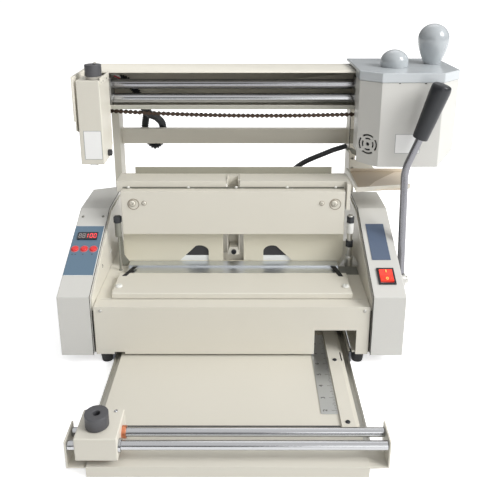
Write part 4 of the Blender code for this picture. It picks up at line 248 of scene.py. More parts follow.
def makeFinish(name, settings):
    material = bpy.data.materials.new(name)
    material.use_nodes = True
    tree = material.node_tree
    shader = next(node for node in tree.nodes if node.type == "BSDF_PRINCIPLED")
    skin = addNode(tree, "ShaderNodeGroup", node_tree=skins[settings["kind"]])
    skin.inputs["Color"].default_value = srgb(*settings["color"])
    skin.inputs["Variation"].default_value = settings["vary"]
    skin.inputs["Stretch"].default_value = settings.get("stretch", (1.0, 1.0, 1.0))
    color = skin.outputs["Color"]
    bump = addNode(tree, "ShaderNodeBump")
    bump.inputs["Strength"].default_value = 1.0
    bump.inputs["Distance"].default_value = settings["bump"]
    feed(tree, bump.inputs["Height"], skin.outputs["Height"])
    # The edge colour is a painted highlight, blended in along edges by the mask
    if "edge" in settings:
        radius, gain, edgeHighlightColor = settings["edge"]
        edge = addNode(tree, "ShaderNodeGroup", node_tree=softEdge)
        edge.inputs["Radius"].default_value = radius
        edge.inputs["Gain"].default_value = gain * edgeHighlightGain
        # A Mix node keeps its colours in inputs 6 and 7 and output 2
        blend = addNode(tree, "ShaderNodeMix", data_type="RGBA")
        feed(tree, blend.inputs["Factor"], edge.outputs["Mask"])
        feed(tree, blend.inputs[6], color)
        blend.inputs[7].default_value = srgb(*edgeHighlightColor)
        color = blend.outputs[2]
        feed(tree, bump.inputs["Normal"], edge.outputs["Normal"])
    feed(tree, shader.inputs["Base Color"], color)
    feed(tree, shader.inputs["Normal"], bump.outputs["Normal"])
    middle, spread = settings["rough"]
    gloss = addNode(tree, "ShaderNodeMapRange")
    gloss.inputs["To Min"].default_value = middle - spread
    gloss.inputs["To Max"].default_value = middle + spread
    feed(tree, gloss.inputs["Value"], skin.outputs["Gloss"])
    feed(tree, shader.inputs["Roughness"], gloss.outputs["Result"])
    shader.inputs["Metallic"].default_value = settings.get("metal", 0.0)
    shader.inputs["Coat Weight"].default_value = settings.get("coat", 0.0)
    shader.inputs["Coat Roughness"].default_value = coatRoughness
    if "glow" in settings:
        shader.inputs["Emission Color"].default_value = srgb(*settings["color"])
        shader.inputs["Emission Strength"].default_value = settings["glow"]
    return material


finishes = {name: makeFinish(name, settings) for name, settings in finishSettings.items()}
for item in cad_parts.values():
    for holder in item.material_slots:
        holder.material = finishes[holder.material.name.split(".")[0]]
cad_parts["info_plate"].material_slots[0].material = finishes["slateFilm"]
print("finishes are made")


# Mesh helpers: each adds its faces to a bmesh in metres
def facing(origin, normal, up=(0, 0, 1)):
    forward = Vector(normal).normalized()
    side = Vector(up).cross(forward)
    if side.length < 0.001:
        side = Vector((1, 0, 0))
    side.normalize()
    turn = Matrix((side, forward.cross(side), forward)).transposed().to_4x4()
    return Matrix.Translation(origin) @ turn


def onSlope(x, along, lift=0.0):
    across = along * math.cos(slopeAngle) - lift * math.sin(slopeAngle)
    height = along * math.sin(slopeAngle) + lift * math.cos(slopeAngle)
    spot = at(x, across, slope["frontZ"] + height)
    return facing(spot, (0, -math.sin(slopeAngle), math.cos(slopeAngle)))


def rounded(profile, radius, steps=4):
    # Rounds each inner corner, by no more than a share of the sides beside it
    sideShare = 0.45
    spots = [Vector(spot) for spot in profile]
    result = [tuple(spots[0])]
    for before, corner, after in zip(spots, spots[1:], spots[2:]):
        back, on = before - corner, after - corner
        reach = min(radius, back.length * sideShare, on.length * sideShare)
        start = corner + back.normalized() * reach
        end = corner + on.normalized() * reach
        for step in range(steps + 1):
            share = step / steps
            first, second = start.lerp(corner, share), corner.lerp(end, share)
            result.append(tuple(first.lerp(second, share)))
    return result + [tuple(spots[-1])]


def addLathe(shape, profile, matrix, sides=48):
    rings = []
    for radius, height in profile:
        if radius < 0.000001:
            rings.append([shape.verts.new(matrix @ Vector((0, 0, height)))])
            continue
        ring = []
        for side in range(sides):
            angle = fullTurn * side / sides
            spot = Vector((radius * math.cos(angle), radius * math.sin(angle), height))
            ring.append(shape.verts.new(matrix @ spot))
        rings.append(ring)
    for near, far in zip(rings, rings[1:]):
        for side in range(sides):
            after = (side + 1) % sides
            if len(near) == 1:
                shape.faces.new((near[0], far[after], far[side]))
            elif len(far) == 1:
                shape.faces.new((near[side], near[after], far[0]))
            else:
                shape.faces.new((near[side], near[after], far[after], far[side]))
    return shape


def addSlab(shape, outline, low, high, matrix, edge=0.0, steps=2):
    made = bmesh.new()
    face = made.faces.new([made.verts.new((x, y, low)) for x, y in outline])
    grown = bmesh.ops.extrude_face_region(made, geom=[face])
    moved = [spot for spot in grown["geom"] if isinstance(spot, bmesh.types.BMVert)]
    bmesh.ops.translate(made, verts=moved, vec=(0, 0, high - low))
    if edge:
        top = [line for line in made.edges if all(spot.co.z > high - 1e-7 for spot in line.verts)]
        bmesh.ops.bevel(made, geom=top, offset=edge, segments=steps, affect="EDGES", profile=0.5)
    bmesh.ops.recalc_face_normals(made, faces=made.faces)
    return addShape(shape, made, matrix)


def addShape(shape, made, matrix):
    bmesh.ops.transform(made, matrix=matrix, verts=made.verts)
    mesh = bpy.data.meshes.new("passing")
    made.to_mesh(mesh)
    made.free()
    shape.from_mesh(mesh)
    bpy.data.meshes.remove(mesh)
    return shape


def addTube(shape, route, radii, sides=20, bore=0.0):
    # A tube along a route, with a bore open at both ends where one is given
    rings, inner = [], []
    spots = [Vector(spot) for spot in route]
    side = None
    for index, spot in enumerate(spots):
        ahead = spots[min(index + 1, len(spots) - 1)] - spots[max(index - 1, 0)]
        ahead.normalize()
        if side is None:
            side = ahead.orthogonal().normalized()
        side = (side - ahead * side.dot(ahead)).normalized()
        rise = ahead.cross(side)
        radius = radii[index] if isinstance(radii, (list, tuple)) else radii
        ring = []
        for step in range(sides):
            angle = fullTurn * step / sides
            reach = side * math.cos(angle) + rise * math.sin(angle)
            ring.append(shape.verts.new(spot + reach * radius))
        rings.append(ring)
        if bore:
            inner.append([shape.verts.new(spot.lerp(point.co, bore / radius)) for point in ring])
    for rows in (rings, inner):
        for near, far in zip(rows, rows[1:]):
            for step in range(sides):
                after = (step + 1) % sides
                shape.faces.new((near[step], near[after], far[after], far[step]))
    if bore:
        for outer, hole in ((rings[0], inner[0]), (rings[-1], inner[-1])):
            for step in range(sides):
                after = (step + 1) % sides
                shape.faces.new((outer[step], outer[after], hole[after], hole[step]))
    else:
        shape.faces.new(list(reversed(rings[0])))
        shape.faces.new(rings[-1])
    return shape


def circleOutline(radius, sides=32, x=0.0, y=0.0, first=0.0):
    spots = []
    for side in range(sides):
        angle = first + fullTurn * side / sides
        spots.append((x + radius * math.cos(angle), y + radius * math.sin(angle)))
    return spots


def roundedBox(x0, x1, y0, y1, radius, steps=4):
    spots = []
    corners = ((x1, y1, 0), (x0, y1, 1), (x0, y0, 2), (x1, y0, 3))
    for x, y, quarter in corners:
        middleX = x - radius if x == x1 else x + radius
        middleY = y - radius if y == y1 else y + radius
        for step in range(steps + 1):
            angle = fullTurn / 4 * (quarter + step / steps)
            spots.append((middleX + radius * math.cos(angle), middleY + radius * math.sin(angle)))
    return spots


def finishPiece(name, shape, finish, body, sharp=38, stands=()):
    bmesh.ops.recalc_face_normals(shape, faces=shape.faces)
    mesh = bpy.data.meshes.new(name)
    shape.to_mesh(mesh)
    shape.free()
    mesh.shade_smooth()
    mesh.set_sharp_from_angle(angle=math.radians(sharp))
    mesh.materials.append(finishes[finish])
    item = bpy.data.objects.new(name, mesh)
    bpy.context.scene.collection.objects.link(item)
    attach(item, body)
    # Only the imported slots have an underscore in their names
    if stands:
        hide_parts(*stands)
    return item


def lathePiece(name, profile, matrix, finish, body, stands=(), sides=64, sharp=38):
    return finishPiece(name, addLathe(bmesh.new(), profile, matrix, sides), finish, body, sharp, stands)


def slabPiece(name, outline, low, high, matrix, finish, body, edge=0.0):
    return finishPiece(name, addSlab(bmesh.new(), outline, low, high, matrix, edge), finish, body)


def skinPiece(name, outline, matrix, finish, body, low=-0.0001, high=0.0002):
    # A thin skin that lies on a face
    return slabPiece(name, outline, low, high, matrix, finish, body)


def cutMesh(shape, tool):
    # Cuts one bmesh out of another
    holders = []
    for part in (shape, tool):
        mesh = bpy.data.meshes.new("cut")
        bmesh.ops.recalc_face_normals(part, faces=part.faces)
        part.to_mesh(mesh)
        part.free()
        holder = bpy.data.objects.new("cut", mesh)
        bpy.context.scene.collection.objects.link(holder)
        holders.append(holder)
    step = holders[0].modifiers.new("cut", "BOOLEAN")
    step.object = holders[1]
    step.solver = "EXACT"
    graph = bpy.context.evaluated_depsgraph_get()
    made = bpy.data.meshes.new_from_object(holders[0].evaluated_get(graph))
    for holder in holders:
        mesh = holder.data
        bpy.data.objects.remove(holder)
        bpy.data.meshes.remove(mesh)
    result = bmesh.new()
    result.from_mesh(made)
    bpy.data.meshes.remove(made)
    return result


# Screws, one shape for each kind; the shares are of the head's radius or height
screwMeshes = {}
screwLook = {
    "domeHeight": 0.55,
    "flat": 0.62,
    "shoulder": 0.45,
    "rounding": 0.22,
    "floor": 0.45,
    "hexagon": 0.52,
    "slotArm": 0.78,
    "crossArm": 0.62,
    "barHalf": 0.13,
    "cutTurn": 0.6,
    "stepTurn": 0.7,
}


def screwShape(kind, radius):
    key = (kind, round(radius, 5))
    if key not in screwMeshes:
        look = screwLook
        height = radius * (1.0 if kind == "socket" else look["domeHeight"])
        profile = [(0, height), (radius * look["flat"], height), (radius, height * look["shoulder"])]
        profile += [(radius, 0), (0, 0)]
        if kind == "socket":
            profile = [(0, height), (radius, height), (radius, 0), (0, 0)]
        head = addLathe(bmesh.new(), rounded(profile, radius * look["rounding"]), plain, 32)
        tool = bmesh.new()
        floor = height * look["floor"]
        if kind == "socket":
            addSlab(tool, circleOutline(radius * look["hexagon"], 6), floor, height * 2, plain)
        else:
            arm, half = radius * look["slotArm"], radius * look["barHalf"]
            bar = [(-arm, -half), (arm, -half), (arm, half), (-arm, half)]
            if kind == "cross":
                arm = radius * look["crossArm"]
                bar = [(-arm, -half), (-half, -half), (-half, -arm), (half, -arm), (half, -half)]
                bar += [(arm, -half), (arm, half), (half, half), (half, arm), (-half, arm)]
                bar += [(-half, half), (-arm, half)]
            addSlab(tool, bar, floor, height * 2, Matrix.Rotation(look["cutTurn"], 4, "Z"))
        cut = cutMesh(head, tool)
        mesh = bpy.data.meshes.new("screw")
        cut.to_mesh(mesh)
        cut.free()
        screwMeshes[key] = mesh
    return screwMeshes[key]


def screwPiece(name, kind, radius, spots, finish, body):
    # spots holds a matrix for each screw; all of them are one piece
    shape = bmesh.new()
    for number, matrix in enumerate(spots):
        made = bmesh.new()
        made.from_mesh(screwShape(kind, radius))
        turn = Matrix.Rotation(screwLook["stepTurn"] * number, 4, "Z")
        addShape(shape, made, matrix @ turn)
    return finishPiece(name, shape, finish, body)


front, rear, topward, leftward, rightward = (0, -1, 0), (0, 1, 0), (0, 0, 1), (-1, 0, 0), (1, 0, 0)


def onFront(x, y, z):
    return facing(at(x, y, z), front)


def onTop(x, y, z):
    return facing(at(x, y, z), topward, (0, 1, 0))


# Camera
camera = bpy.data.objects.new("camera", bpy.data.cameras.new("camera"))
bpy.context.scene.collection.objects.link(camera)
view = {
    "place": (-0.0273, -0.8607, 0.5801),
    "down": 16.85,
    "yaw": 0.056,
    "lens": 44.99,
    "shift": (0.0066, -0.1891),
}
camera.location = view["place"]
camera.rotation_euler = (math.radians(90 - view["down"]), 0, math.radians(view["yaw"]))
camera.data.lens = view["lens"]
camera.data.sensor_width = 36
camera.data.shift_x, camera.data.shift_y = view["shift"]
camera.data.clip_start = 0.05
bpy.context.scene.camera = camera
bpy.context.scene.view_settings.view_transform = "Standard"


def smoothRoute(points, spacing):
    # Even points along a smooth curve through the given ones
    dense = []
    spots = [at(*point) for point in points]
    for index in range(len(spots) - 1):
        before = spots[max(index - 1, 0)]
        start, end = spots[index], spots[index + 1]
        after = spots[min(index + 2, len(spots) - 1)]
        for step in range(24):
            part = step / 24
            first = 2 * start + (end - before) * part
            second = (2 * before - 5 * start + 4 * end - after) * part**2
            third = (3 * start - before - 3 * end + after) * part**3
            dense.append((first + second + third) / 2)
    dense.append(spots[-1])
    lengths = [(b - a).length for a, b in zip(dense, dense[1:])]
    count = max(2, round(sum(lengths) / spacing))
    stride = sum(lengths) / count
    route, travelled = [dense[0]], 0
    for a, b, length in zip(dense, dense[1:], lengths):
        while len(route) <= count and travelled + length >= stride * len(route):
            route.append(a.lerp(b, (stride * len(route) - travelled) / length))
        travelled += length
    if len(route) <= count:
        route.append(dense[-1])
    return route


# Channel beam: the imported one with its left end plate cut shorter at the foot
beamCut = {"box": (-0.2600, -0.2405, 0.1100, 0.2800), "low": 0.3000, "high": 0.3515, "corner": 0.0002}
beamShape = bmesh.new()
beamShape.from_mesh(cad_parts["beam"].data)
bmesh.ops.transform(beamShape, matrix=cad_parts["beam"].matrix_world, verts=beamShape.verts)
beamOutline = roundedBox(*beamCut["box"], beamCut["corner"], 1)
beamTool = addSlab(bmesh.new(), beamOutline, beamCut["low"], beamCut["high"], onTop(0, 0, 0))
finishPiece("channelBeam", cutMesh(beamShape, beamTool), "ivory_enamel", "machine", stands=("beam",))
# Painted shade: a streaky grey-green skin darkens the front of the beam's lower lip
channelLip = {"box": (-0.1990, 0.1980, 0.3557, 0.3619), "y": 0.1899, "corner": 0.0006}
lipSkin = roundedBox(*channelLip["box"], channelLip["corner"])
skinPiece("channelLipSkin", lipSkin, onFront(0, channelLip["y"], 0), "paintedShadeGreen", "machine")


def cordPiece(name, route, radii, settings):
    tube = addTube(bmesh.new(), route, radii, 24, settings.get("bore", 0.0))
    item = finishPiece(name, tube, "black_plastic", "machine", sharp=70, stands=(settings["node"],))


# Ribbed conduit behind the crossbar
conduit = {
    "points": (
        (-0.1960, 0.2500, 0.3960),
        (-0.1860, 0.2560, 0.3920),
        (-0.1740, 0.2590, 0.3780),
        (-0.1650, 0.2590, 0.3620),
        (-0.1590, 0.2610, 0.3440),
        (-0.1510, 0.2750, 0.3280),
        (-0.1420, 0.3010, 0.3150),
        (-0.1350, 0.3190, 0.2970),
        (-0.1370, 0.3200, 0.2700),
        (-0.1500, 0.3200, 0.2570),
        (-0.1630, 0.3200, 0.2680),
        (-0.1680, 0.3200, 0.2900),
        (-0.1650, 0.3190, 0.3120),
        (-0.1590, 0.3130, 0.3360),
        (-0.1550, 0.3010, 0.3570),
        (-0.1545, 0.2910, 0.3690),
        (-0.1545, 0.2830, 0.3700),
        (-0.1545, 0.2752, 0.3700),
    ),
    "radius": 0.0060,
    "rib": 0.0018,
    "bore": 0.0042,
    "pitch": 0.0038,
    "ribShape": (-0.5, -0.5, 0.25, 0.5, 0.5, 0.25),
    "node": "conduit",
    "stiffness": "stiff",
}
ribSteps = len(conduit["ribShape"])
conduitRoute = smoothRoute(conduit["points"], conduit["pitch"] / ribSteps)
ribRadii = []
for number in range(len(conduitRoute)):
    ribRadii.append(conduit["radius"] + conduit["rib"] * conduit["ribShape"][number % ribSteps])
cordPiece("conduitTube", conduitRoute, ribRadii, conduit)

# Short red and pale wires at the conduit's upper end, two of each
wire = {"radius": 0.0012, "gap": 0.0026, "spacing": 0.0010, "end": -0.2120}
for name, finish, lift, start in (
    ("redWires", "redWire", 0.0, 0.0),
    ("paleWires", "whiteSleeve", 0.0030, 0.0012),
):
    wires = bmesh.new()
    for number in range(2):
        away = wire["gap"] * number
        points = (
            (-0.1935, 0.2480, 0.3950 + lift),
            (-0.1975, 0.2465 - away, 0.3985 + lift),
            (-0.2030 - start, 0.2455 - away, 0.4010 + lift),
            (wire["end"], 0.2450 - away, 0.4000 + lift),
        )
        addTube(wires, smoothRoute(points, wire["spacing"]), wire["radius"], 12)
    finishPiece(name, wires, finish, "machine")

# Black cable from the right bracket
cable = {
    "points": (
        (0.2005, 0.2660, 0.2715),
        (0.1955, 0.2650, 0.2700),
        (0.1763, 0.2630, 0.2643),
        (0.1595, 0.2620, 0.2575),
        (0.1425, 0.2610, 0.2506),
        (0.1254, 0.2600, 0.2426),
        (0.1100, 0.2570, 0.2325),
        (0.0900, 0.2500, 0.2130),
        (0.0770, 0.2470, 0.1860),
        (0.0680, 0.2480, 0.1400),
        (0.0650, 0.2500, 0.0900),
        (0.0650, 0.2520, 0.0450),
        (0.0650, 0.2520, 0.0240),
    ),
    "radius": 0.0046,
    "spacing": 0.003,
    "node": "glue_cable",
    "stiffness": "medium",
}
cordPiece("cableTube", smoothRoute(cable["points"], cable["spacing"]), cable["radius"], cable)
print("camera and cords are made")

# Slide rods: start, radius, length, node and body
rods = {
    "upper": ((-0.2394, 0.2120, 0.3940), 0.0080, 0.5903, "upper_rod", "machine"),
    "lower": ((-0.2394, 0.2120, 0.3700), 0.0080, 0.5903, "lower_rod", "machine"),
    "creaserFront": ((-0.1892, -0.2060, 0.0390), 0.0056, 0.3784, "creaser_front_rod", "tray"),
    "creaserRear": ((-0.1892, -0.1840, 0.0390), 0.0056, 0.3784, "creaser_rear_rod", "tray"),
}
rodEdgeShare = 0.12
for name, (start, radius, length, node, body) in rods.items():
    edge = radius * rodEdgeShare
    profile = [(0, length), (radius - edge, length), (radius, length - edge)]
    profile += [(radius, edge), (radius - edge, 0), (0, 0)]
    # The upper rod takes a darker copy of the steel: painted shade for its place under the beam's flange
    finish = "shadedSteel" if name == "upper" else "polished_steel"
    lathePiece(name + "Rod", profile, facing(at(*start), rightward), finish, body, (node,), 72)


def domeProfile(foot, widest, height, lowShare, steps):
    points = [(0, height)]
    for step in range(1, steps + 1):
        angle = math.pi / 2 * step / steps
        rise = height * (1 - lowShare) * math.cos(angle)
        points.append((widest * math.sin(angle), height * lowShare + rise))
    for step in range(1, steps + 1):
        share = step / steps
        radius = foot + (widest - foot) * math.cos(math.pi / 2 * share)
        points.append((radius, height * lowShare * (1 - share)))
    return points + [(0, 0)]


# Egg handle and dome on the glue unit's cap: foot, widest, height, low share, steps
gripForms = {
    "eggGrip": ((0.0130, 0.0250, 0.0648, 0.62, 28), (0.3305, 0.2300, 0.4253), "egg_handle"),
    "domeKnob": ((0.0213, 0.0222, 0.0268, 0.28, 28), (0.2605, 0.1970, 0.4253), "dome_knob"),
}
for name, (form, place, node) in gripForms.items():
    profile = domeProfile(*form)
    item = lathePiece(name, profile, onTop(*place), "gripGrey", "glue_head", (node,), 80, 60)


def boredKnob(name, settings, body, node):
    radius, neck, collar = settings["radius"], settings["neck"], settings["collar"]
    top = neck + settings["height"]
    bore, depth = settings["bore"]
    profile = [(0, top - depth), (bore, top - depth), (bore, top), (radius, top)]
    profile += [(radius, neck), (collar, neck - 0.0003), (collar, 0), (0, 0)]
    matrix = onTop(*settings["place"])
    lathePiece(name, rounded(profile, 0.0008, 3), matrix, "charcoal_knob", body, (node,), 72)
    if "sleeve" in settings:
        wall, gap, foot = settings["sleeve"]
        inside, outside, neck = collar - wall, collar + foot * 2, neck - gap
        profile = [(inside, neck), (outside, neck), (outside, foot), (inside, foot), (inside, neck)]
        lathePiece(name + "Collar", profile, matrix, "knobCollar", body, (), 72)


# neck is the height of the collar under a knob; sleeve is a thin pale skin round the collar
depthKnob = {
    "radius": 0.0128,
    "height": 0.0172,
    "collar": 0.0118,
    "neck": 0.0048,
    "bore": (0.0042, 0.0080),
    "sleeve": (0.001, 0.0006, 0.0001),
    "place": (-0.2125, 0.1370, 0.4153),
}
creaserKnob = {
    "radius": 0.0143,
    "height": 0.0165,
    "collar": 0.0133,
    "neck": 0.0006,
    "bore": (0.0045, 0.0110),
    "place": (-0.1560, -0.1925, 0.0564),
}
boredKnob("depthKnob", depthKnob, "milling_depth", "depth_knob")
boredKnob("creaserKnob", creaserKnob, "creaser_lock", "creaser_knob")
print("rods, handles and knobs are made")

# Clamp lever: bent rod in a hub, with a tapered grip
lever = {
    "pivot": (0.2566, 0.0880, 0.1000),
    "hub": [(0, 0.0229), (0.0060, 0.0229), (0.0060, 0.0179), (0.0110, 0.0179), (0.0110, 0), (0, 0)],
    "foot": (0.2680, 0.0880, 0.1000),
    "bend": (0.2680, 0.1113, 0.2766),
    "gripFoot": (0.2860, 0.1060, 0.3289),
    "gripHead": (0.3112, 0.0980, 0.4136),
    "rodRadius": 0.0058,
    "rodStart": 0.0116,
    "bendReach": 0.0154,
    "bendSteps": 16,
    "gripDepth": 0.0290,
    "gripBore": (0.0061, 0.0300),
    "gripLow": 0.0118,
    "gripTop": 0.0150,
}
hub = addLathe(bmesh.new(), rounded(lever["hub"], 0.0008), facing(at(*lever["pivot"]), rightward), 64)
finishPiece("leverHub", hub, "zinc_plate", "lever", stands=("lever_hub",))
foot, bend = at(*lever["foot"]), at(*lever["bend"])
gripFoot, gripHead = at(*lever["gripFoot"]), at(*lever["gripHead"])
lower, upper = (bend - foot).normalized(), (gripHead - gripFoot).normalized()
route = [foot + lower * lever["rodStart"]]
first = bend - lower * lever["bendReach"]
last = bend + (gripFoot - bend).normalized() * lever["bendReach"]
for step in range(lever["bendSteps"] + 1):
    share = step / lever["bendSteps"]
    route.append(first.lerp(bend, share).lerp(bend.lerp(last, share), share))
route += [gripFoot, gripFoot + upper * lever["gripDepth"]]
rodShape = addTube(bmesh.new(), route, lever["rodRadius"], 48)
finishPiece("leverRod", rodShape, "darkChrome", "lever", sharp=60, stands=("lever_rod",))
length = (gripHead - gripFoot).length
low, top = lever["gripLow"], lever["gripTop"]
bore, depth = lever["gripBore"]
profile = [(0, depth), (bore, depth), (bore, 0.0), (low - 0.0008, 0), (low, 0.0012)]
profile += [(top, length - 0.0130), (top, length - 0.0060), (top - 0.0016, length - 0.0012)]
profile += [(top - 0.0050, length), (0, length)]
turn = upper.to_track_quat("Z", "Y").to_matrix().to_4x4()
matrix = Matrix.Translation(gripFoot) @ turn
profile = rounded(profile, 0.0022, 5)
lathePiece("leverGrip", profile, matrix, "black_plastic", "lever", ("lever_grip",), 72, 55)

# Adjusters beside the clamp: slim stem at the left; foot, bolt and sleeve at the right
adjuster = {
    "Left": -0.1862,
    "Right": 0.1895,
    "y": 0.1220,
    "foot": [(0, 0.1262), (0.0062, 0.1262), (0.0070, 0.1240), (0.0070, 0.1078), (0, 0.1078)],
    "bolt": [(0, 0.1970), (0.0038, 0.1970), (0.0042, 0.1960), (0.0042, 0.1245), (0, 0.1245)],
    "sleeve": [(0, 0.1842), (0.0056, 0.1842), (0.0056, 0.1660), (0, 0.1660)],
    "stem": [
        (0, 0.1848),
        (0.0052, 0.1848),
        (0.0052, 0.1600),
        (0.0017, 0.1580),
        (0.0017, 0.1010),
        (0.0034, 0.0992),
        (0, 0.0992),
    ],
}
adjusterParts = (
    ("FootLeft", "stem", 0.0008, "clampGrey", ("adjuster_left",), 64),
    ("Nut1Left", (0.1845, 0.0100)),
    ("FootRight", "foot", 0.0008, "zinc_plate", ("adjuster_right",), 64),
    ("BoltRight", "bolt", 0.0003, "zinc_plate", (), 32),
    ("SleeveRight", "sleeve", 0.0006, "whiteSleeve", (), 64),
    ("Nut1Right", (0.1845, 0.0100)),
    ("Nut2Right", (0.1425, 0.0105)),
)
spots = {side: onTop(adjuster[side], adjuster["y"], 0) for side in ("Left", "Right")}
nutRadius = 0.0066
for part, form, *settings in adjusterParts:
    name = "adjuster" + part
    spot = spots["Left" if part.endswith("Left") else "Right"]
    if settings:
        edge, finish, stands, sides = settings
        lathePiece(name, rounded(adjuster[form], edge), spot, finish, "machine", stands, sides)
    else:
        low, height = form
        outline = circleOutline(nutRadius, 6, first=0.3)
        slabPiece(name, outline, low, low + height, spot, "black_plastic", "machine", 0.0006)

# Plate under the right adjuster, a grey skin of painted shade on the deck below it, and the two dark slits
footPlate = [(0.1745, 0.1073), (0.2050, 0.1073), (0.2050, 0.1130), (0.1974, 0.1246), (0.1869, 0.1246)]
plateMatrix = onFront(0, 0.1235, 0)
slabPiece("adjusterPlate", footPlate, 0.0, 0.0030, plateMatrix, "grey_enamel", "machine", 0.0005)
shadeBox = roundedBox(0.1735, 0.2050, 0.1060, 0.1350, 0.0010)
skinPiece("deckShade", shadeBox, onTop(0, 0, 0.0989), "clampGrey", "machine")
# The slits are dark slabs on the deck: painted shade where its openings are
slits = bmesh.new()
for corners in (
    [(-0.1757, 0.0820), (-0.1690, 0.0820), (-0.1571, 0.1137), (-0.1640, 0.1137)],
    [(0.1682, 0.0810), (0.1753, 0.0810), (0.1681, 0.1149), (0.1594, 0.1149)],
):
    addSlab(slits, corners, -0.0001, 0.0004, onTop(0, 0, 0.1090))
finishPiece("deckSlits", slits, "deepHole", "machine")

# Rubber feet, hollow below
profile = [(0, 0.0202), (0.0105, 0.0202), (0.0105, 0.0150), (0.0088, 0.0030), (0.0085, 0.0000)]
profile += [(0.0042, 0.0), (0.0042, 0.0040), (0, 0.0040)]
profile = rounded(profile, 0.0008)
for depthName, y in (("front", 0.0200), ("rear", 0.2750)):
    for sideName, x in (("left", -0.1920), ("right", 0.1920)):
        node = f"foot_{depthName}_{sideName}"
        name = depthName + sideName.capitalize() + "Foot"
        lathePiece(name, profile, onTop(x, y, 0), "black_rubber", "machine", (node,), 48)

# Copper bush, its chrome ring on the front rod, and the creasing wheel
bush = [(0.0059, 0), (0.0076, 0), (0.0076, 0.0544), (0.0059, 0.0544), (0.0059, 0)]
matrix = facing(at(-0.1779, -0.1840, 0.0390), rightward)
lathePiece("creaserBush", bush, matrix, "copper_bush", "creaser_carriage", ("creaser_bush",))
ring = [(0.0059, 0), (0.0080, 0), (0.0080, 0.0030), (0.0059, 0.0030), (0.0059, 0)]
matrix = facing(at(-0.1285, -0.2060, 0.0390), rightward)
lathePiece("rodRing", ring, matrix, "polished_steel", "creaser_carriage")
wheel = [(0, 0.0000), (0.0030, 0.0), (0.0030, 0.0006), (0.0094, 0.0006), (0.0110, 0.0033)]
wheel += [(0.0096, 0.0065), (0.0020, 0.0065), (0.0020, 0.0085), (0, 0.0085)]
wheel = rounded(wheel, 0.0004, 2)
matrix = facing(at(-0.1530, -0.1750, 0.0270), rear)
lathePiece("creasingWheel", wheel, matrix, "polished_steel", "creasing_wheel", ("creasing_wheel",))
print("lever, adjusters and feet are made")

# Glue roller with its shaft and sprocket; each tooth is a run of (share of pitch, share of height)
roller = {
    "place": (0.2750, 0.1350, 0.3020),
    "teeth": 25,
    "tip": 0.0335,
    "root": 0.0294,
    "tooth": ((0, 1.0), (0.2, 1.0), (0.34, 0.45), (0.46, 0.0), (0.74, 0.0), (0.86, 0.45)),
    "wheel": (0.0730, 0.0810),
}
matrix = facing(at(*roller["place"]), rear)
profile = [(0, 0), (0.0040, 0), (0.0040, 0.0012), (0.0230, 0.0012), (0.0240, 0), (0.0290, 0)]
profile += [(0.0290, 0.0290), (0.0050, 0.0290), (0.0050, 0.0731), (0, 0.0731)]
shape = addLathe(bmesh.new(), rounded(profile, 0.0008, 3), matrix, 72)
outline = []
for tooth in range(roller["teeth"]):
    for share, level in roller["tooth"]:
        angle = fullTurn * (tooth + share) / roller["teeth"]
        reach = roller["root"] + (roller["tip"] - roller["root"]) * level
        outline.append((reach * math.cos(angle), reach * math.sin(angle)))
addSlab(shape, outline, *roller["wheel"], matrix, 0.0008)
finishPiece("glueRoller", shape, "polished_steel", "glue_roller", stands=("glue_roller",))

# Roller chain: figure-eight plates, rollers and pins
chain = {
    "start": -0.2394,
    "end": 0.3509,
    "links": 74,
    "y": 0.2120,
    "z": 0.3500,
    "sag": 0.0105,
    "plate": 0.0033,
    "plateArc": 250,
    "plateSteps": 7,
    "waist": 0.0012,
    "inner": (0.0016, 0.0022),
    "outer": (0.0024, 0.0030),
    "roller": (0.0022, 0.0015),
    "pin": (0.0012, 0.0032),
}


def chainSpot(share):
    length = chain["end"] - chain["start"] - 2 * chain["plate"]
    x = chain["start"] + chain["plate"] + length * share
    return at(x, chain["y"], chain["z"] - chain["sag"] * (1 - (2 * share - 1) ** 2))


def drumProfile(radius, half):
    return [(0, half), (radius, half), (radius, -half), (0, -half)]


chainShape = bmesh.new()
pinShape = bmesh.new()
for link in range(chain["links"]):
    first, second = chainSpot(link / chain["links"]), chainSpot((link + 1) / chain["links"])
    pitch = (second - first).length
    turn = facing(first, front, (second - first).cross(Vector(front)))
    outline = []
    for centre, begin in ((pitch, -125), (0, 55)):
        for step in range(chain["plateSteps"] + 1):
            angle = math.radians(begin + chain["plateArc"] * step / chain["plateSteps"])
            x = centre + chain["plate"] * math.cos(angle)
            outline.append((x, chain["plate"] * math.sin(angle)))
        outline.append((pitch / 2, chain["waist"] if centre else -chain["waist"]))
    near, far = chain["inner"] if link % 2 else chain["outer"]
    for low, high in ((near, far), (-far, -near)):
        addSlab(chainShape, outline, low, high, turn)
for link in range(chain["links"] + 1):
    spot = facing(chainSpot(link / chain["links"]), front)
    addLathe(chainShape, drumProfile(*chain["roller"]), spot, 14)
    addLathe(pinShape, drumProfile(*chain["pin"]), spot, 10)
finishPiece("chainPlates", chainShape, "oiled_chain", "machine", stands=("roller_chain",))
finishPiece("chainPins", pinShape, "oiled_chain", "machine")
print("roller and chain are made")

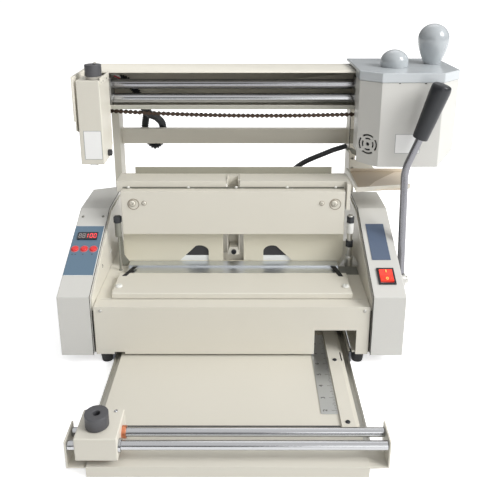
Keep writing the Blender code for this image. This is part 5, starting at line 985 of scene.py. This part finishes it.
# Screw sets: kind, radius, places, finish and body
screwSets = {
    "housingScrews": (
        "cross",
        0.0022,
        [onSlope(-0.2483, 0.1607), onSlope(-0.2153, 0.1610)],
        "clampGrey",
        "machine",
    ),
    "panelScrews": (
        "cross",
        0.0026,
        [onFront(-0.1945, 0.0040, 0.0926), onFront(0.1969, 0.0040, 0.0926)],
        "zinc_plate",
        "machine",
    ),
    # Painted highlight: the steel platen screws take a pale non-metal colour that stands for their bright
    # reflection
    "platenScrews": (
        "slot",
        0.0057,
        [onTop(-0.1743, 0.0481, 0.1090), onTop(0.1743, 0.0481, 0.1090)],
        "brightScrew",
        "machine",
    ),
    "jawBigScrews": (
        "cross",
        0.0050,
        [onFront(-0.1606, 0.1200, 0.2176), onFront(0.1620, 0.1200, 0.2176)],
        "ivory_enamel",
        "front_jaw",
    ),
    "jawSmallScrews": (
        "cross",
        0.0034,
        [onFront(-0.1417, 0.1200, 0.2178), onFront(0.1420, 0.1200, 0.2178)],
        "ivory_enamel",
        "front_jaw",
    ),
    "blockScrews": (
        "cross",
        0.0024,
        [onTop(-0.1384, -0.1680, 0.0560), onTop(-0.1745, -0.1680, 0.0560)],
        "polished_steel",
        "creaser_carriage",
    ),
    "guideScrews": (
        "cross",
        0.0032,
        [onTop(0.1533, -0.0094, 0.0184), onTop(0.1526, -0.1422, 0.0184)],
        "black_plastic",
        "tray",
    ),
    "lugScrew": ("socket", 0.0042, [onFront(0.0006, 0.1396, 0.1245)], "black_plastic", "machine"),
    "traySideScrews": (
        "cross",
        0.0026,
        [facing(at(-0.1676, -0.2085, 0.0090), leftward), facing(at(0.1676, -0.2085, 0.0090), rightward)],
        "zinc_plate",
        "tray",
    ),
    "bracketScrew": (
        "cross",
        0.0028,
        [facing(at(0.1915, -0.2045, 0.0360), rightward)],
        "innerDark",
        "tray",
    ),
}
for name, (kind, radius, spots, finish, body) in screwSets.items():
    screwPiece(name, kind, radius, spots, finish, body)

# Thin rings of painted shade round the screw heads on the front jaw: places, height, radius and half width
jawRings = bmesh.new()
jawRing = {
    "rise": 0.0004,
    "rings": (
        ((-0.1589, 0.1635), 0.2162, 0.0088, 0.0006),
        ((-0.1606, 0.1620), 0.2176, 0.0052, 0.0006),
        ((-0.1417, 0.1420), 0.2178, 0.0036, 0.0005),
    ),
}
for spots, height, radius, wide in jawRing["rings"]:
    inner, outer, rise = radius - wide, radius + wide, jawRing["rise"]
    ring = [(inner, 0), (inner, rise), (outer, rise), (outer, 0), (inner, 0)]
    for x in spots:
        addLathe(jawRings, ring, onFront(x, 0.1200, height), 48)
finishPiece("jawRings", jawRings, "ringShade", "front_jaw")

# Dark line with pale rivets above the front jaw, and a dark strip of painted shade at the rear wall's left
# edge
jawLine = {
    "box": (-0.1786, 0.1793, 0.2364, 0.2388),
    "y": 0.1391,
    "rivets": (-0.1694, -0.0723, 0.0049, 0.0875, 0.1657),
    "rivetZ": 0.2380,
}
lineBox = roundedBox(*jawLine["box"], 0.0004)
lineMatrix = onFront(0, jawLine["y"], 0)
skinPiece("jawLine", lineBox, lineMatrix, "clampGrey", "machine", high=0.0003)
rivets = bmesh.new()
rivetProfile = [(0, 0.0014), (0.0016, 0.0011), (0.0024, 0.0003), (0, 0.0003)]
for x in jawLine["rivets"]:
    addLathe(rivets, rivetProfile, onFront(x, jawLine["y"], jawLine["rivetZ"]), 24)
finishPiece("jawRivets", rivets, "brightScrew", "machine")
wallEdge = [(-0.1872, 0.1360), (-0.1859, 0.1003), (-0.1732, 0.1003), (-0.1729, 0.1068)]
wallEdge += [(-0.1818, 0.1205), (-0.1836, 0.1612), (-0.1872, 0.1612)]
slabPiece("wallEdge", wallEdge, 0.0, 0.0006, onFront(0, 0.1357, 0), "clampGrey", "machine")

# Dark seams between the housings and the inner side walls
seam = {
    "x": 0.20765,
    "half": 0.0004,
    "lift": 0.00025,
    "outline": (
        (0.0, 0.0200),
        (0.0, slope["frontZ"]),
        (slope["depth"], slope["rearZ"]),
        (0.2440, slope["rearZ"]),
    ),
}
seamShape = bmesh.new()
for sign in (-1, 1):
    rows = []
    spots = [Vector(spot) for spot in seam["outline"]]
    for index, spot in enumerate(spots):
        ahead = spots[min(index + 1, len(spots) - 1)] - spots[max(index - 1, 0)]
        away = Vector((-ahead.y, ahead.x)).normalized() * seam["lift"]
        row = []
        for reach, lift in ((-1, -1), (-1, 1), (1, 1), (1, -1)):
            x = sign * seam["x"] + reach * seam["half"]
            row.append(seamShape.verts.new(at(x, spot.x + away.x * lift, spot.y + away.y * lift)))
        rows.append(row)
    for near, far in zip(rows, rows[1:]):
        for side in range(4):
            after = (side + 1) % 4
            seamShape.faces.new((near[side], near[after], far[after], far[side]))
    seamShape.faces.new(rows[0])
    seamShape.faces.new(rows[-1])
finishPiece("housingSeams", seamShape, "deepHole", "machine")
print("screws and seams are made")

# Keys with pale rims
keys = {"x": (-0.2473, -0.2329, -0.2184), "along": 0.0909}
keyProfile = [(0, 0.0034), (0.0032, 0.0033), (0.0046, 0.0028), (0.0052, 0.0020)]
keyProfile = rounded(keyProfile + [(0.0052, -0.0018), (0, -0.0018)], 0.0005)
rim = [(0.0057, 0.0008), (0.0057, 0.0013), (0.0064, 0.0013), (0.0067, 0.0008), (0.0057, 0.0008)]
for number, x in enumerate(keys["x"], 1):
    matrix = onSlope(x, keys["along"])
    name = f"key{number}"
    stands = (f"button_{number}",)
    lathePiece(name, keyProfile, matrix, "red_button", f"key_{number}", stands, 48)
    lathePiece(name + "Rim", rim, matrix, "keyRim", "machine", (), 48)

digitSegments = {"0": "abcdef", "1": "bc", "8": "abcdefg"}
# Shares of a digit's height, and how far it stands out
digitLook = {"wide": 0.44, "slim": 0.062, "gap": 0.4, "rise": 0.0002}


def addDigit(shape, digit, x, y, high, matrix, lift):
    # Seven hexagon bars; x and y are the middle of the digit
    wide, half, slim = high * digitLook["wide"], high / 2, high * digitLook["slim"]
    bars = {
        "a": (0, half, True),
        "g": (0, 0, True),
        "d": (0, -half, True),
        "f": (-wide / 2, half / 2, False),
        "b": (wide / 2, half / 2, False),
        "e": (-wide / 2, -half / 2, False),
        "c": (wide / 2, -half / 2, False),
    }
    for name in digitSegments[digit]:
        dx, dy, flat = bars[name]
        reach = half / 2 - slim * digitLook["gap"]
        ends = [(-reach, 0), (-reach + slim, slim), (reach - slim, slim)]
        ends += [(reach, 0), (reach - slim, -slim), (-reach + slim, -slim)]
        if not flat:
            ends = [(-b, a) for a, b in ends]
        outline = [(x + dx + a, y + dy + b) for a, b in ends]
        addSlab(shape, outline, lift, lift + digitLook["rise"], matrix)


# Frame of the display and its digits; a digit's place counts in steps from the left
display = {
    "box": (-0.2478, -0.2163, 0.1097, 0.1241),
    "rim": 0.0013,
    "top": 0.0027,
    "digit": 0.0084,
    "first": -0.2438,
    "step": 0.0059,
    "middle": 0.1169,
}
slopeLevel = onSlope(0, 0)


def addPanes(shape, panes, low, high, edge=0.0):
    # Rectangles on the sloping face, each from left, right, bottom and top
    for left, right, bottom, top in panes:
        outline = [(left, bottom), (right, bottom), (right, top), (left, top)]
        addSlab(shape, outline, low, high, slopeLevel, edge)


x0, x1, low, high = display["box"]
rim = display["rim"]
panes = (
    (x0, x1, low, low + rim),
    (x0, x1, high - rim, high),
    (x0, x0 + rim, low + rim, high - rim),
    (x1 - rim, x1, low + rim, high - rim),
)
frameShape = bmesh.new()
addPanes(frameShape, panes, display["top"] - 0.0003, display["top"] + 0.0005, 0.0003)
finishPiece("displayFrame", frameShape, "black_plastic", "machine")
for name, digits, finish in (
    ("dimDigits", (("8", 0), ("8", 1)), "dimSegment"),
    ("litDigits", (("1", 1.75), ("0", 3), ("0", 4.05)), "litSegment"),
):
    shape = bmesh.new()
    for digit, place in digits:
        x = display["first"] + display["step"] * place
        addDigit(shape, digit, x, display["middle"], display["digit"], slopeLevel, display["top"])
    finishPiece(name, shape, finish, "machine")

# Small marks under the keys and the film's pale edges
filmPlate = {"box": (-0.2550, -0.2095, 0.0396, 0.1390), "top": 0.0008, "edge": 0.0007, "inset": 0.001}
marks = {"spots": (-0.2495, -0.2446, -0.2328, -0.2186), "along": 0.0799, "half": 0.0009, "tall": 0.0006}
markShape = bmesh.new()
low, high = marks["along"] - marks["tall"], marks["along"] + marks["tall"]
for x in marks["spots"]:
    box = roundedBox(x - marks["half"], x + marks["half"], low, high, 0.0004)
    addSlab(markShape, box, filmPlate["top"] - 0.0001, filmPlate["top"] + 0.0002, slopeLevel)
finishPiece("keyMarks", markShape, "darkMark", "machine")
x0, x1, low, high = filmPlate["box"]
edge, inset = filmPlate["edge"], filmPlate["inset"]
panes = (
    (x0 + inset, x1 - inset, low - edge, low),
    (x0 + inset, x1 - inset, high, high + edge),
    (x1, x1 + edge, low + inset, high - inset),
)
edgeShape = bmesh.new()
addPanes(edgeShape, panes, 0.0, filmPlate["top"])
finishPiece("filmEdges", edgeShape, "filmEdge", "machine")

# Line and ring marks on the rocker, which ride with it
rocker = {"x": 0.2320, "along": 0.0377, "lift": 0.0046, "spread": 0.0068, "tall": 0.0042, "wide": 0.0007}
rockerRise = 0.0012
rockerShape = bmesh.new()
x, y = rocker["x"], rocker["along"] + rocker["spread"]
wide, tall = rocker["wide"], rocker["tall"] / 2
line = roundedBox(x - wide, x + wide, y - tall, y + tall, 0.0003)
ring = [(0.0013, 0), (0.0013, rockerRise), (0.0021, rockerRise), (0.0021, 0), (0.0013, 0)]
addLathe(rockerShape, ring, onSlope(x, rocker["along"] - rocker["spread"], rocker["lift"]), 32)
addSlab(rockerShape, line, rocker["lift"], rocker["lift"] + rockerRise, slopeLevel, 0.0002)
finishPiece("rockerMarks", rockerShape, "glowMark", "power_rocker")
print("controls are made")

# Upright wall behind the clamp, with its fin openings placed as they are seen
clampWall = {
    "x": 0.1815,
    "y": 0.1358,
    "thick": 0.0020,
    "low": 0.0992,
    "high": 0.2300,
    "chamfer": (0.1740, 0.1215),
    "slot": (0.0170, 0.1092, 0.1680),
    "fins": ((-1, 0.0411), (1, 0.0497)),
    "reach": 0.0494,
    "arc": (0.0147, 0.1260, 0.0147, 0.0111),
    "finLow": 0.1086,
}
wallMatrix = facing(at(0, clampWall["y"] + clampWall["thick"], 0), front)
wallX, low, high = clampWall["x"], clampWall["low"], clampWall["high"]
footX, chamferZ = clampWall["chamfer"]
outline = [(-footX, low), (footX, low), (wallX, chamferZ)]
outline += [(wallX, high), (-wallX, high), (-wallX, chamferZ)]
wallShape = addSlab(bmesh.new(), outline, 0.0, clampWall["thick"], wallMatrix)
slotX, low, high = clampWall["slot"]
slotOutline = [(-slotX, low), (slotX, low), (slotX, high), (-slotX, high)]
wallShape = cutMesh(wallShape, addSlab(bmesh.new(), slotOutline, -0.001, 0.004, wallMatrix))
for sign, start in clampWall["fins"]:
    reach, middle, wide, tall = clampWall["arc"]
    corners = [(0, clampWall["finLow"])]
    for step in range(13):
        angle = math.radians(180 - 118 * step / 12)
        corners.append((reach + wide * math.cos(angle), middle + tall * math.sin(angle)))
    corners.append((clampWall["reach"], clampWall["finLow"]))
    outline = [(sign * (start + x), z) for x, z in corners]
    if sign > 0:
        outline.reverse()
    wallShape = cutMesh(wallShape, addSlab(bmesh.new(), outline, -0.001, 0.004, wallMatrix))
wallItem = finishPiece("clampWall", wallShape, "wallEnamel", "machine", stands=("rear_wall",))

# Dark sheet of painted shade behind the two fin-shaped openings, with the pale rail at their feet
fins = {
    "spans": ((-0.0930, -0.0385), (0.0470, 0.1020)),
    "low": 0.1075,
    "rail": 0.1182,
    "high": 0.1400,
    "y": 0.1379,
}
finMatrix = facing(at(0, fins["y"], 0), rear)
for name, low, high, finish in (
    ("finDark", "rail", "high", "innerDark"),
    ("finRail", "low", "rail", "filmEdge"),
):
    shape = bmesh.new()
    for first, last in fins["spans"]:
        box = roundedBox(-last, -first, fins[low] + 0.0001, fins[high], 0.0012)
        addSlab(shape, box, 0.0001, 0.0009, finMatrix)
    finishPiece(name, shape, finish, "machine")

# Small bright clip at the guide strip's outer edge
clip = {"x0": 0.1628, "x1": 0.1648, "y0": -0.0097, "y1": 0.0105, "z": 0.0166, "rise": 0.0014}
clipOutline = roundedBox(clip["x0"], clip["x1"], clip["y0"], clip["y1"], 0.0006)
clipMatrix = onTop(0, 0, clip["z"])
slabPiece("guideClip", clipOutline, 0.0, clip["rise"], clipMatrix, "polished_steel", "tray", 0.0003)

# Painted shade: a black strip on the tray where the gap between the creaser rods is seen, and the fixed
# channels beside the tray's slides
strip = {"x0": -0.1655, "x1": 0.1430, "y0": -0.1640, "y1": -0.1455, "z": 0.0155, "thick": 0.0003}
outline = roundedBox(strip["x0"], strip["x1"], strip["y0"], strip["y1"], 0.0010)
stripMatrix = onTop(0, 0, strip["z"])
slabPiece("creaseStrip", outline, -0.0002, strip["thick"], stripMatrix, "innerDark", "tray")
channel = {"x0": 0.1769, "x1": 0.1808, "y0": 0.0080, "y1": 0.2620, "low": 0.0035, "high": 0.0203}
channelShape = bmesh.new()
for sign in (-1, 1):
    ends = sorted((sign * channel["x0"], sign * channel["x1"]))
    box = roundedBox(ends[0], ends[1], channel["y0"], channel["y1"], 0.0004)
    addSlab(channelShape, box, channel["low"], channel["high"], onTop(0, 0, 0), 0.0003)
finishPiece("slideChannels", channelShape, "channelSteel", "machine")

# Turned-up lip on the milling cover's right side, and the dark hexagon below it
lip = {"x": -0.2004, "thick": 0.0010, "y0": 0.1225, "y1": 0.1850, "low": 0.4060, "high": 0.4185}
lipMatrix = facing(at(lip["x"], 0, 0), rightward)
outline = roundedBox(lip["y0"], lip["y1"], lip["low"], lip["high"], 0.0020)
slabPiece("coverLip", outline, 0.0, lip["thick"], lipMatrix, "ivory_enamel", "milling_head", 0.0003)
dots = bmesh.new()
for y in (0.1290, 0.1420, 0.1660):
    dot = circleOutline(0.0012, 16, y, 0.4110)
    addSlab(dots, dot, lip["thick"] - 0.0001, lip["thick"] + 0.0002, lipMatrix)
finishPiece("coverLipHoles", dots, "innerDark", "milling_head")
bolt = addSlab(bmesh.new(), circleOutline(0.0052, 6, 0.1500, 0.2935, 0.3), 0.0, 0.0062, lipMatrix, 0.0006)
finishPiece("coverBolt", bolt, "innerDark", "milling_head")

# Dark fan with bright blades behind the round grille of the glue unit
fan = {"x": 0.21375, "y": 0.1420, "z": 0.3098, "depth": 0.0046, "radius": 0.0172, "hub": 0.0060, "blades": 7}
fanMatrix = facing(at(fan["x"], fan["y"], fan["z"]), (-0.6184, -0.7859, 0))
floor, wide = -fan["depth"], fan["radius"]
dish = [(0, floor - 0.0012), (wide, floor - 0.0012), (wide, floor + 0.0020)]
dish += [(wide - 0.0010, floor + 0.0020), (wide - 0.0010, floor), (0, floor)]
lathePiece("ventFan", dish, fanMatrix, "deepHole", "glue_head", (), 48)
bladeShape = bmesh.new()
for number in range(fan["blades"]):
    turn = fanMatrix @ Matrix.Rotation(fullTurn * number / fan["blades"], 4, "Z")
    outline = [(0.0040, -0.0016), (0.0150, -0.0034), (0.0156, 0.0018), (0.0046, 0.0014)]
    addSlab(bladeShape, outline, floor, floor + 0.0008, turn)
fanHub = [(0, floor + 0.0012), (fan["hub"], floor + 0.0010), (fan["hub"], floor)]
addLathe(bladeShape, fanHub, fanMatrix)
finishPiece("ventBlades", bladeShape, "innerDark", "glue_head")

# Dark notches under the cap
notches = bmesh.new()
notchMatrix = onFront(0, 0.1300, 0)
for x in (0.2555, 0.2951):
    notch = roundedBox(x - 0.0014, x + 0.0014, 0.4084, 0.4096, 0.0004)
    addSlab(notches, notch, -0.0001, 0.0003, notchMatrix)
finishPiece("capNotches", notches, "deepHole", "glue_head")

# Lower corner of the glue unit's left face, flush with it
apron = {"base": 0.2800, "thick": 0.0015}
apronMatrix = facing(at(0.1985, 0.1540, apron["base"]), (-0.6184, -0.7859, 0))
apronCorners = (
    (0.0004, 0.2800),
    (0.0018, 0.2781),
    (0.0275, 0.2757),
    (0.0384, 0.2757),
    (0.0384, 0.2785),
    (0.0004, 0.2990),
)
apronOutline = [(along, height - apron["base"]) for along, height in apronCorners]
slabPiece("coverApron", apronOutline, -apron["thick"], 0.0001, apronMatrix, "grey_enamel", "glue_head")

# Pale skin of painted light on the right post's face, which the glue unit shades, the crossbar's end on it
# and the cable's clamp
postMatrix = facing(at(0, 0.2746, 0), front)
postFace = roundedBox(0.2078, 0.2232, 0.2500, 0.3540, 0.0004)
skinPiece("postFace", postFace, postMatrix, "paintedLightPale", "machine")
crossbarEnd = roundedBox(0.2078, 0.2234, 0.2737, 0.3008, 0.0004)
slabPiece("crossbarEnd", crossbarEnd, 0.0, 0.0006, postMatrix, "greyGreen", "machine")
clampOutline = [(0.1985, 0.2690), (0.2030, 0.2712), (0.2075, 0.2640), (0.2120, 0.2650)]
clampOutline += [(0.2236, 0.2590), (0.2232, 0.2500), (0.2100, 0.2560), (0.2040, 0.2600)]
slabPiece("cableClamp", list(reversed(clampOutline)), 0.0, 0.0020, postMatrix, "clampGrey", "machine", 0.0003)

# Stained floor of the drip tray and its low rear edge
drip = {"floor": 0.2305, "rearY": 0.2425, "rearTop": 0.2362}
dripLevel = onTop(0, 0, drip["floor"])
dripOutline = [(0.2064, 0.1470), (0.2850, 0.1470), (0.2885, 0.1610), (0.2985, 0.2420), (0.2064, 0.2420)]
slabPiece("dripStain", dripOutline, -0.0001, 0.0002, dripLevel, "paleStain", "machine")
wedgeOutline = [(0.2064, 0.1560), (0.2200, 0.1560), (0.2400, 0.1900), (0.2850, 0.2410), (0.2064, 0.2410)]
slabPiece("dripWedge", wedgeOutline, 0.0001, 0.0004, dripLevel, "stainedEnamel", "machine")
rearEdge = roundedBox(0.2064, 0.3005, drip["floor"], drip["rearTop"], 0.0008)
rearMatrix = onFront(0, drip["rearY"] + 0.0014, 0)
slabPiece("dripRearEdge", rearEdge, 0.0, 0.0014, rearMatrix, "paleStain", "machine", 0.0002)

# Dark edge of the right post
postEdge = roundedBox(0.2068, 0.2076, 0.2160, 0.3540, 0.0003)
slabPiece("postEdge", postEdge, -0.0001, 0.0008, postMatrix, "innerDark", "machine")

# Grey-green skin on the guard above the rear jaw
guard = {"half": 0.1630, "y": 0.1777, "low": 0.2488, "high": 0.2598}
guardMatrix = facing(at(0, guard["y"], 0), front)
guardSkin = roundedBox(-guard["half"], guard["half"], guard["low"], guard["high"], 0.0008)
slabPiece("guardSkin", guardSkin, -0.0002, 0.0002, guardMatrix, "greyGreen", "machine")

# Hook-shaped cut and pale studs on the left inner wall
innerWall = {"x": -0.2055, "hook": (0.0802, 0.1273), "studs": ((0.1395, 0.1233), (0.1470, 0.1233))}
hookShape = bmesh.new()
route = []
y, z = innerWall["hook"]
for step in range(9):
    angle = math.radians(120 - 30 * step)
    route.append(at(innerWall["x"], y + 0.0022 * math.cos(angle), z + 0.0022 * math.sin(angle)))
addTube(hookShape, route, 0.0005, 10)
finishPiece("wallHook", hookShape, "innerDark", "machine")
studShape = bmesh.new()
profile = [(0, 0.0006), (0.0011, 0.0005), (0.0015, 0.0), (0, 0.0)]
for y, z in innerWall["studs"]:
    addLathe(studShape, profile, facing(at(innerWall["x"], y, z), rightward), 20)
finishPiece("wallStuds", studShape, "filmEdge", "machine")

# Dark seams at the sides of the front panel
panelSeam = {"x": 0.2060, "half": 0.0006, "y": 0.0042, "low": 0.0240, "high": 0.0930}
panelSeamShape = bmesh.new()
for sign in (-1, 1):
    x, half = sign * panelSeam["x"], panelSeam["half"]
    box = roundedBox(x - half, x + half, panelSeam["low"], panelSeam["high"], 0.0003)
    addSlab(panelSeamShape, box, -0.0002, 0.0003, onFront(0, panelSeam["y"], 0))
finishPiece("panelSeams", panelSeamShape, "deepHole", "machine")
print("walls and seams are made")

# Blank white stickers
stickers = {
    "millingSticker": ((-0.0138, 0.0138, -0.0230, 0.0230), onFront(-0.2163, 0.1200, 0.3140), "milling_head"),
    "glueSticker": ((-0.0196, 0.0196, -0.0157, 0.0157), onFront(0.2739, 0.1300, 0.3136), "glue_head"),
}
for name, (size, matrix, body) in stickers.items():
    x0, x1, y0, y1 = size
    slabPiece(name, roundedBox(x0, x1, y0, y1, 0.0010), -0.0001, 0.0002, matrix, "labelRim", body)
    inner = roundedBox(x0 + 0.0007, x1 - 0.0007, y0 + 0.0007, y1 - 0.0007, 0.0006)
    slabPiece(name + "Face", inner, 0.0, 0.0003, matrix, "blankLabel", body)

# Ruler ticks and inch numbers
ruler = {
    "x1": 0.1425,
    "front": -0.1240,
    "rear": 0.0600,
    "z": 0.0166,
    "inch": 0.0254,
    "two": -0.1178,
    "numberX": 0.1266,
    "numberSize": 0.0082,
}
ticks = bmesh.new()
level = onTop(0, 0, ruler["z"])
for step in range(8 * 10):
    y = ruler["two"] + ruler["inch"] * (step - 4) / 8
    if not ruler["front"] < y < ruler["rear"]:
        continue
    reach = 0.0075 if step % 8 == 4 else 0.0048 if step % 4 == 0 else 0.0030
    outline = [(ruler["x1"] - reach, y - 0.0002), (ruler["x1"] - 0.0004, y - 0.0002)]
    outline += [(ruler["x1"] - 0.0004, y + 0.0002), (ruler["x1"] - reach, y + 0.0002)]
    addSlab(ticks, outline, -0.00005, 0.00008, level)
finishPiece("rulerTicks", ticks, "darkMark", "tray")
for number in range(2, 9):
    y = ruler["two"] + ruler["inch"] * (number - 2)
    letter = bpy.data.curves.new("number", "FONT")
    letter.body = str(number)
    letter.size = ruler["numberSize"]
    letter.align_x, letter.align_y = "CENTER", "CENTER"
    letter.extrude = 0.00005
    holder = bpy.data.objects.new("number", letter)
    bpy.context.scene.collection.objects.link(holder)
    graph = bpy.context.evaluated_depsgraph_get()
    made = bpy.data.meshes.new_from_object(holder.evaluated_get(graph))
    bpy.data.objects.remove(holder)
    shape = bmesh.new()
    shape.from_mesh(made)
    bpy.data.meshes.remove(made)
    matrix = onTop(ruler["numberX"], y, ruler["z"] + 0.00006) @ Matrix.Rotation(math.radians(90), 4, "Z")
    bmesh.ops.transform(shape, matrix=matrix, verts=shape.verts)
    finishPiece(f"rulerNumber{number}", shape, "darkMark", "tray")
print("stickers and ruler are made")

# Floor, backdrop and lights
floorMaterial = bpy.data.materials.new("floorWhite")
floorMaterial.use_nodes = True
floorTree = floorMaterial.node_tree
floorShader = next(node for node in floorTree.nodes if node.type == "BSDF_PRINCIPLED")
floorLook = {
    "Base Color": (0.93, 0.93, 0.93, 1),
    "Roughness": 0.9,
    "Specular IOR Level": 0.1,
    "Emission Color": (1, 1, 1, 1),
    "Emission Strength": 0.62,
}
for label, value in floorLook.items():
    feed(floorTree, floorShader.inputs[label], value)
floorPath = addNode(floorTree, "ShaderNodeLightPath")
floorDark = addNode(floorTree, "ShaderNodeBsdfDiffuse")
feed(floorTree, floorDark.inputs["Color"], (0.56, 0.56, 0.56, 1))
cameraRay, glossyRay = floorPath.outputs["Is Camera Ray"], floorPath.outputs["Is Glossy Ray"]
floorSeen = addMath(floorTree, "MAXIMUM", cameraRay, glossyRay)
floorMix = addNode(floorTree, "ShaderNodeMixShader")
for socket, value in zip(floorMix.inputs, (floorSeen, floorDark.outputs[0], floorShader.outputs[0])):
    feed(floorTree, socket, value)
floorOut = next(node for node in floorTree.nodes if node.type == "OUTPUT_MATERIAL")
feed(floorTree, floorOut.inputs["Surface"], floorMix.outputs[0])
floorMesh = bpy.data.meshes.new("floor")
floorMesh.from_pydata([(-6, -4, 0), (6, -4, 0), (6, 8, 0), (-6, 8, 0)], [], [(0, 1, 2, 3)])
floorMesh.materials.append(floorMaterial)
floor = bpy.data.objects.new("floor", floorMesh)
bpy.context.scene.collection.objects.link(floor)

world = bpy.data.worlds.new("studio")
world.use_nodes = True
bpy.context.scene.world = world
tree = world.node_tree
tree.nodes.clear()
output = addNode(tree, "ShaderNodeOutputWorld")
path = addNode(tree, "ShaderNodeLightPath")
coordinate = addNode(tree, "ShaderNodeTexCoord")
split = addNode(tree, "ShaderNodeSeparateXYZ")
feed(tree, split.inputs[0], coordinate.outputs["Generated"])


def addRamp(source, spanFrom, spanTo, kind):
    # Strength of the studio's light across one direction
    node = addNode(tree, "ShaderNodeMapRange", interpolation_type=kind)
    labels = ("From Min", "From Max", "To Min", "To Max")
    for label, value in zip(labels, (*spanFrom, *spanTo)):
        feed(tree, node.inputs[label], value)
    feed(tree, node.inputs["Value"], source)
    return node.outputs["Result"]


def addShade(strength):
    shade = addNode(tree, "ShaderNodeBackground")
    feed(tree, shade.inputs["Strength"], strength)
    feed(tree, shade.inputs["Color"], (1, 1, 1, 1))
    return shade.outputs[0]


def addMix(ray, first, second):
    mix = addNode(tree, "ShaderNodeMixShader")
    for socket, value in zip(mix.inputs, (path.outputs[ray], first, second)):
        feed(tree, socket, value)
    return mix.outputs[0]


sideways = addRamp(split.outputs["X"], (-1.0, 1.0), (0.20, 0.96), "LINEAR")
upward = addRamp(split.outputs["Z"], (0.15, 0.75), (0.16, 1.10), "SMOOTHSTEP")
lit = addMix("Is Glossy Ray", addShade(sideways), addShade(upward))
feed(tree, output.inputs["Surface"], addMix("Is Camera Ray", lit, addShade(1.05)))

lamps = {
    "key": ((2.6, -1.3, 2.3), 104.0, 1.8),
    "fill": ((0.9, -2.8, 0.9), 12.0, 1.6),
    "back": ((0.4, 1.6, 2.6), 8.0, 1.8),
}
for name, (place, energy, size) in lamps.items():
    lamp = bpy.data.lights.new(name, "AREA")
    lamp.shape = "DISK"
    lamp.size = size
    lamp.energy = energy
    holder = bpy.data.objects.new(name, lamp)
    holder.location = place
    aim = Vector((0, 0, 0.2)) - Vector(place)
    holder.rotation_euler = aim.to_track_quat("-Z", "Y").to_euler()
    bpy.context.scene.collection.objects.link(holder)
print("stage and lights are made")
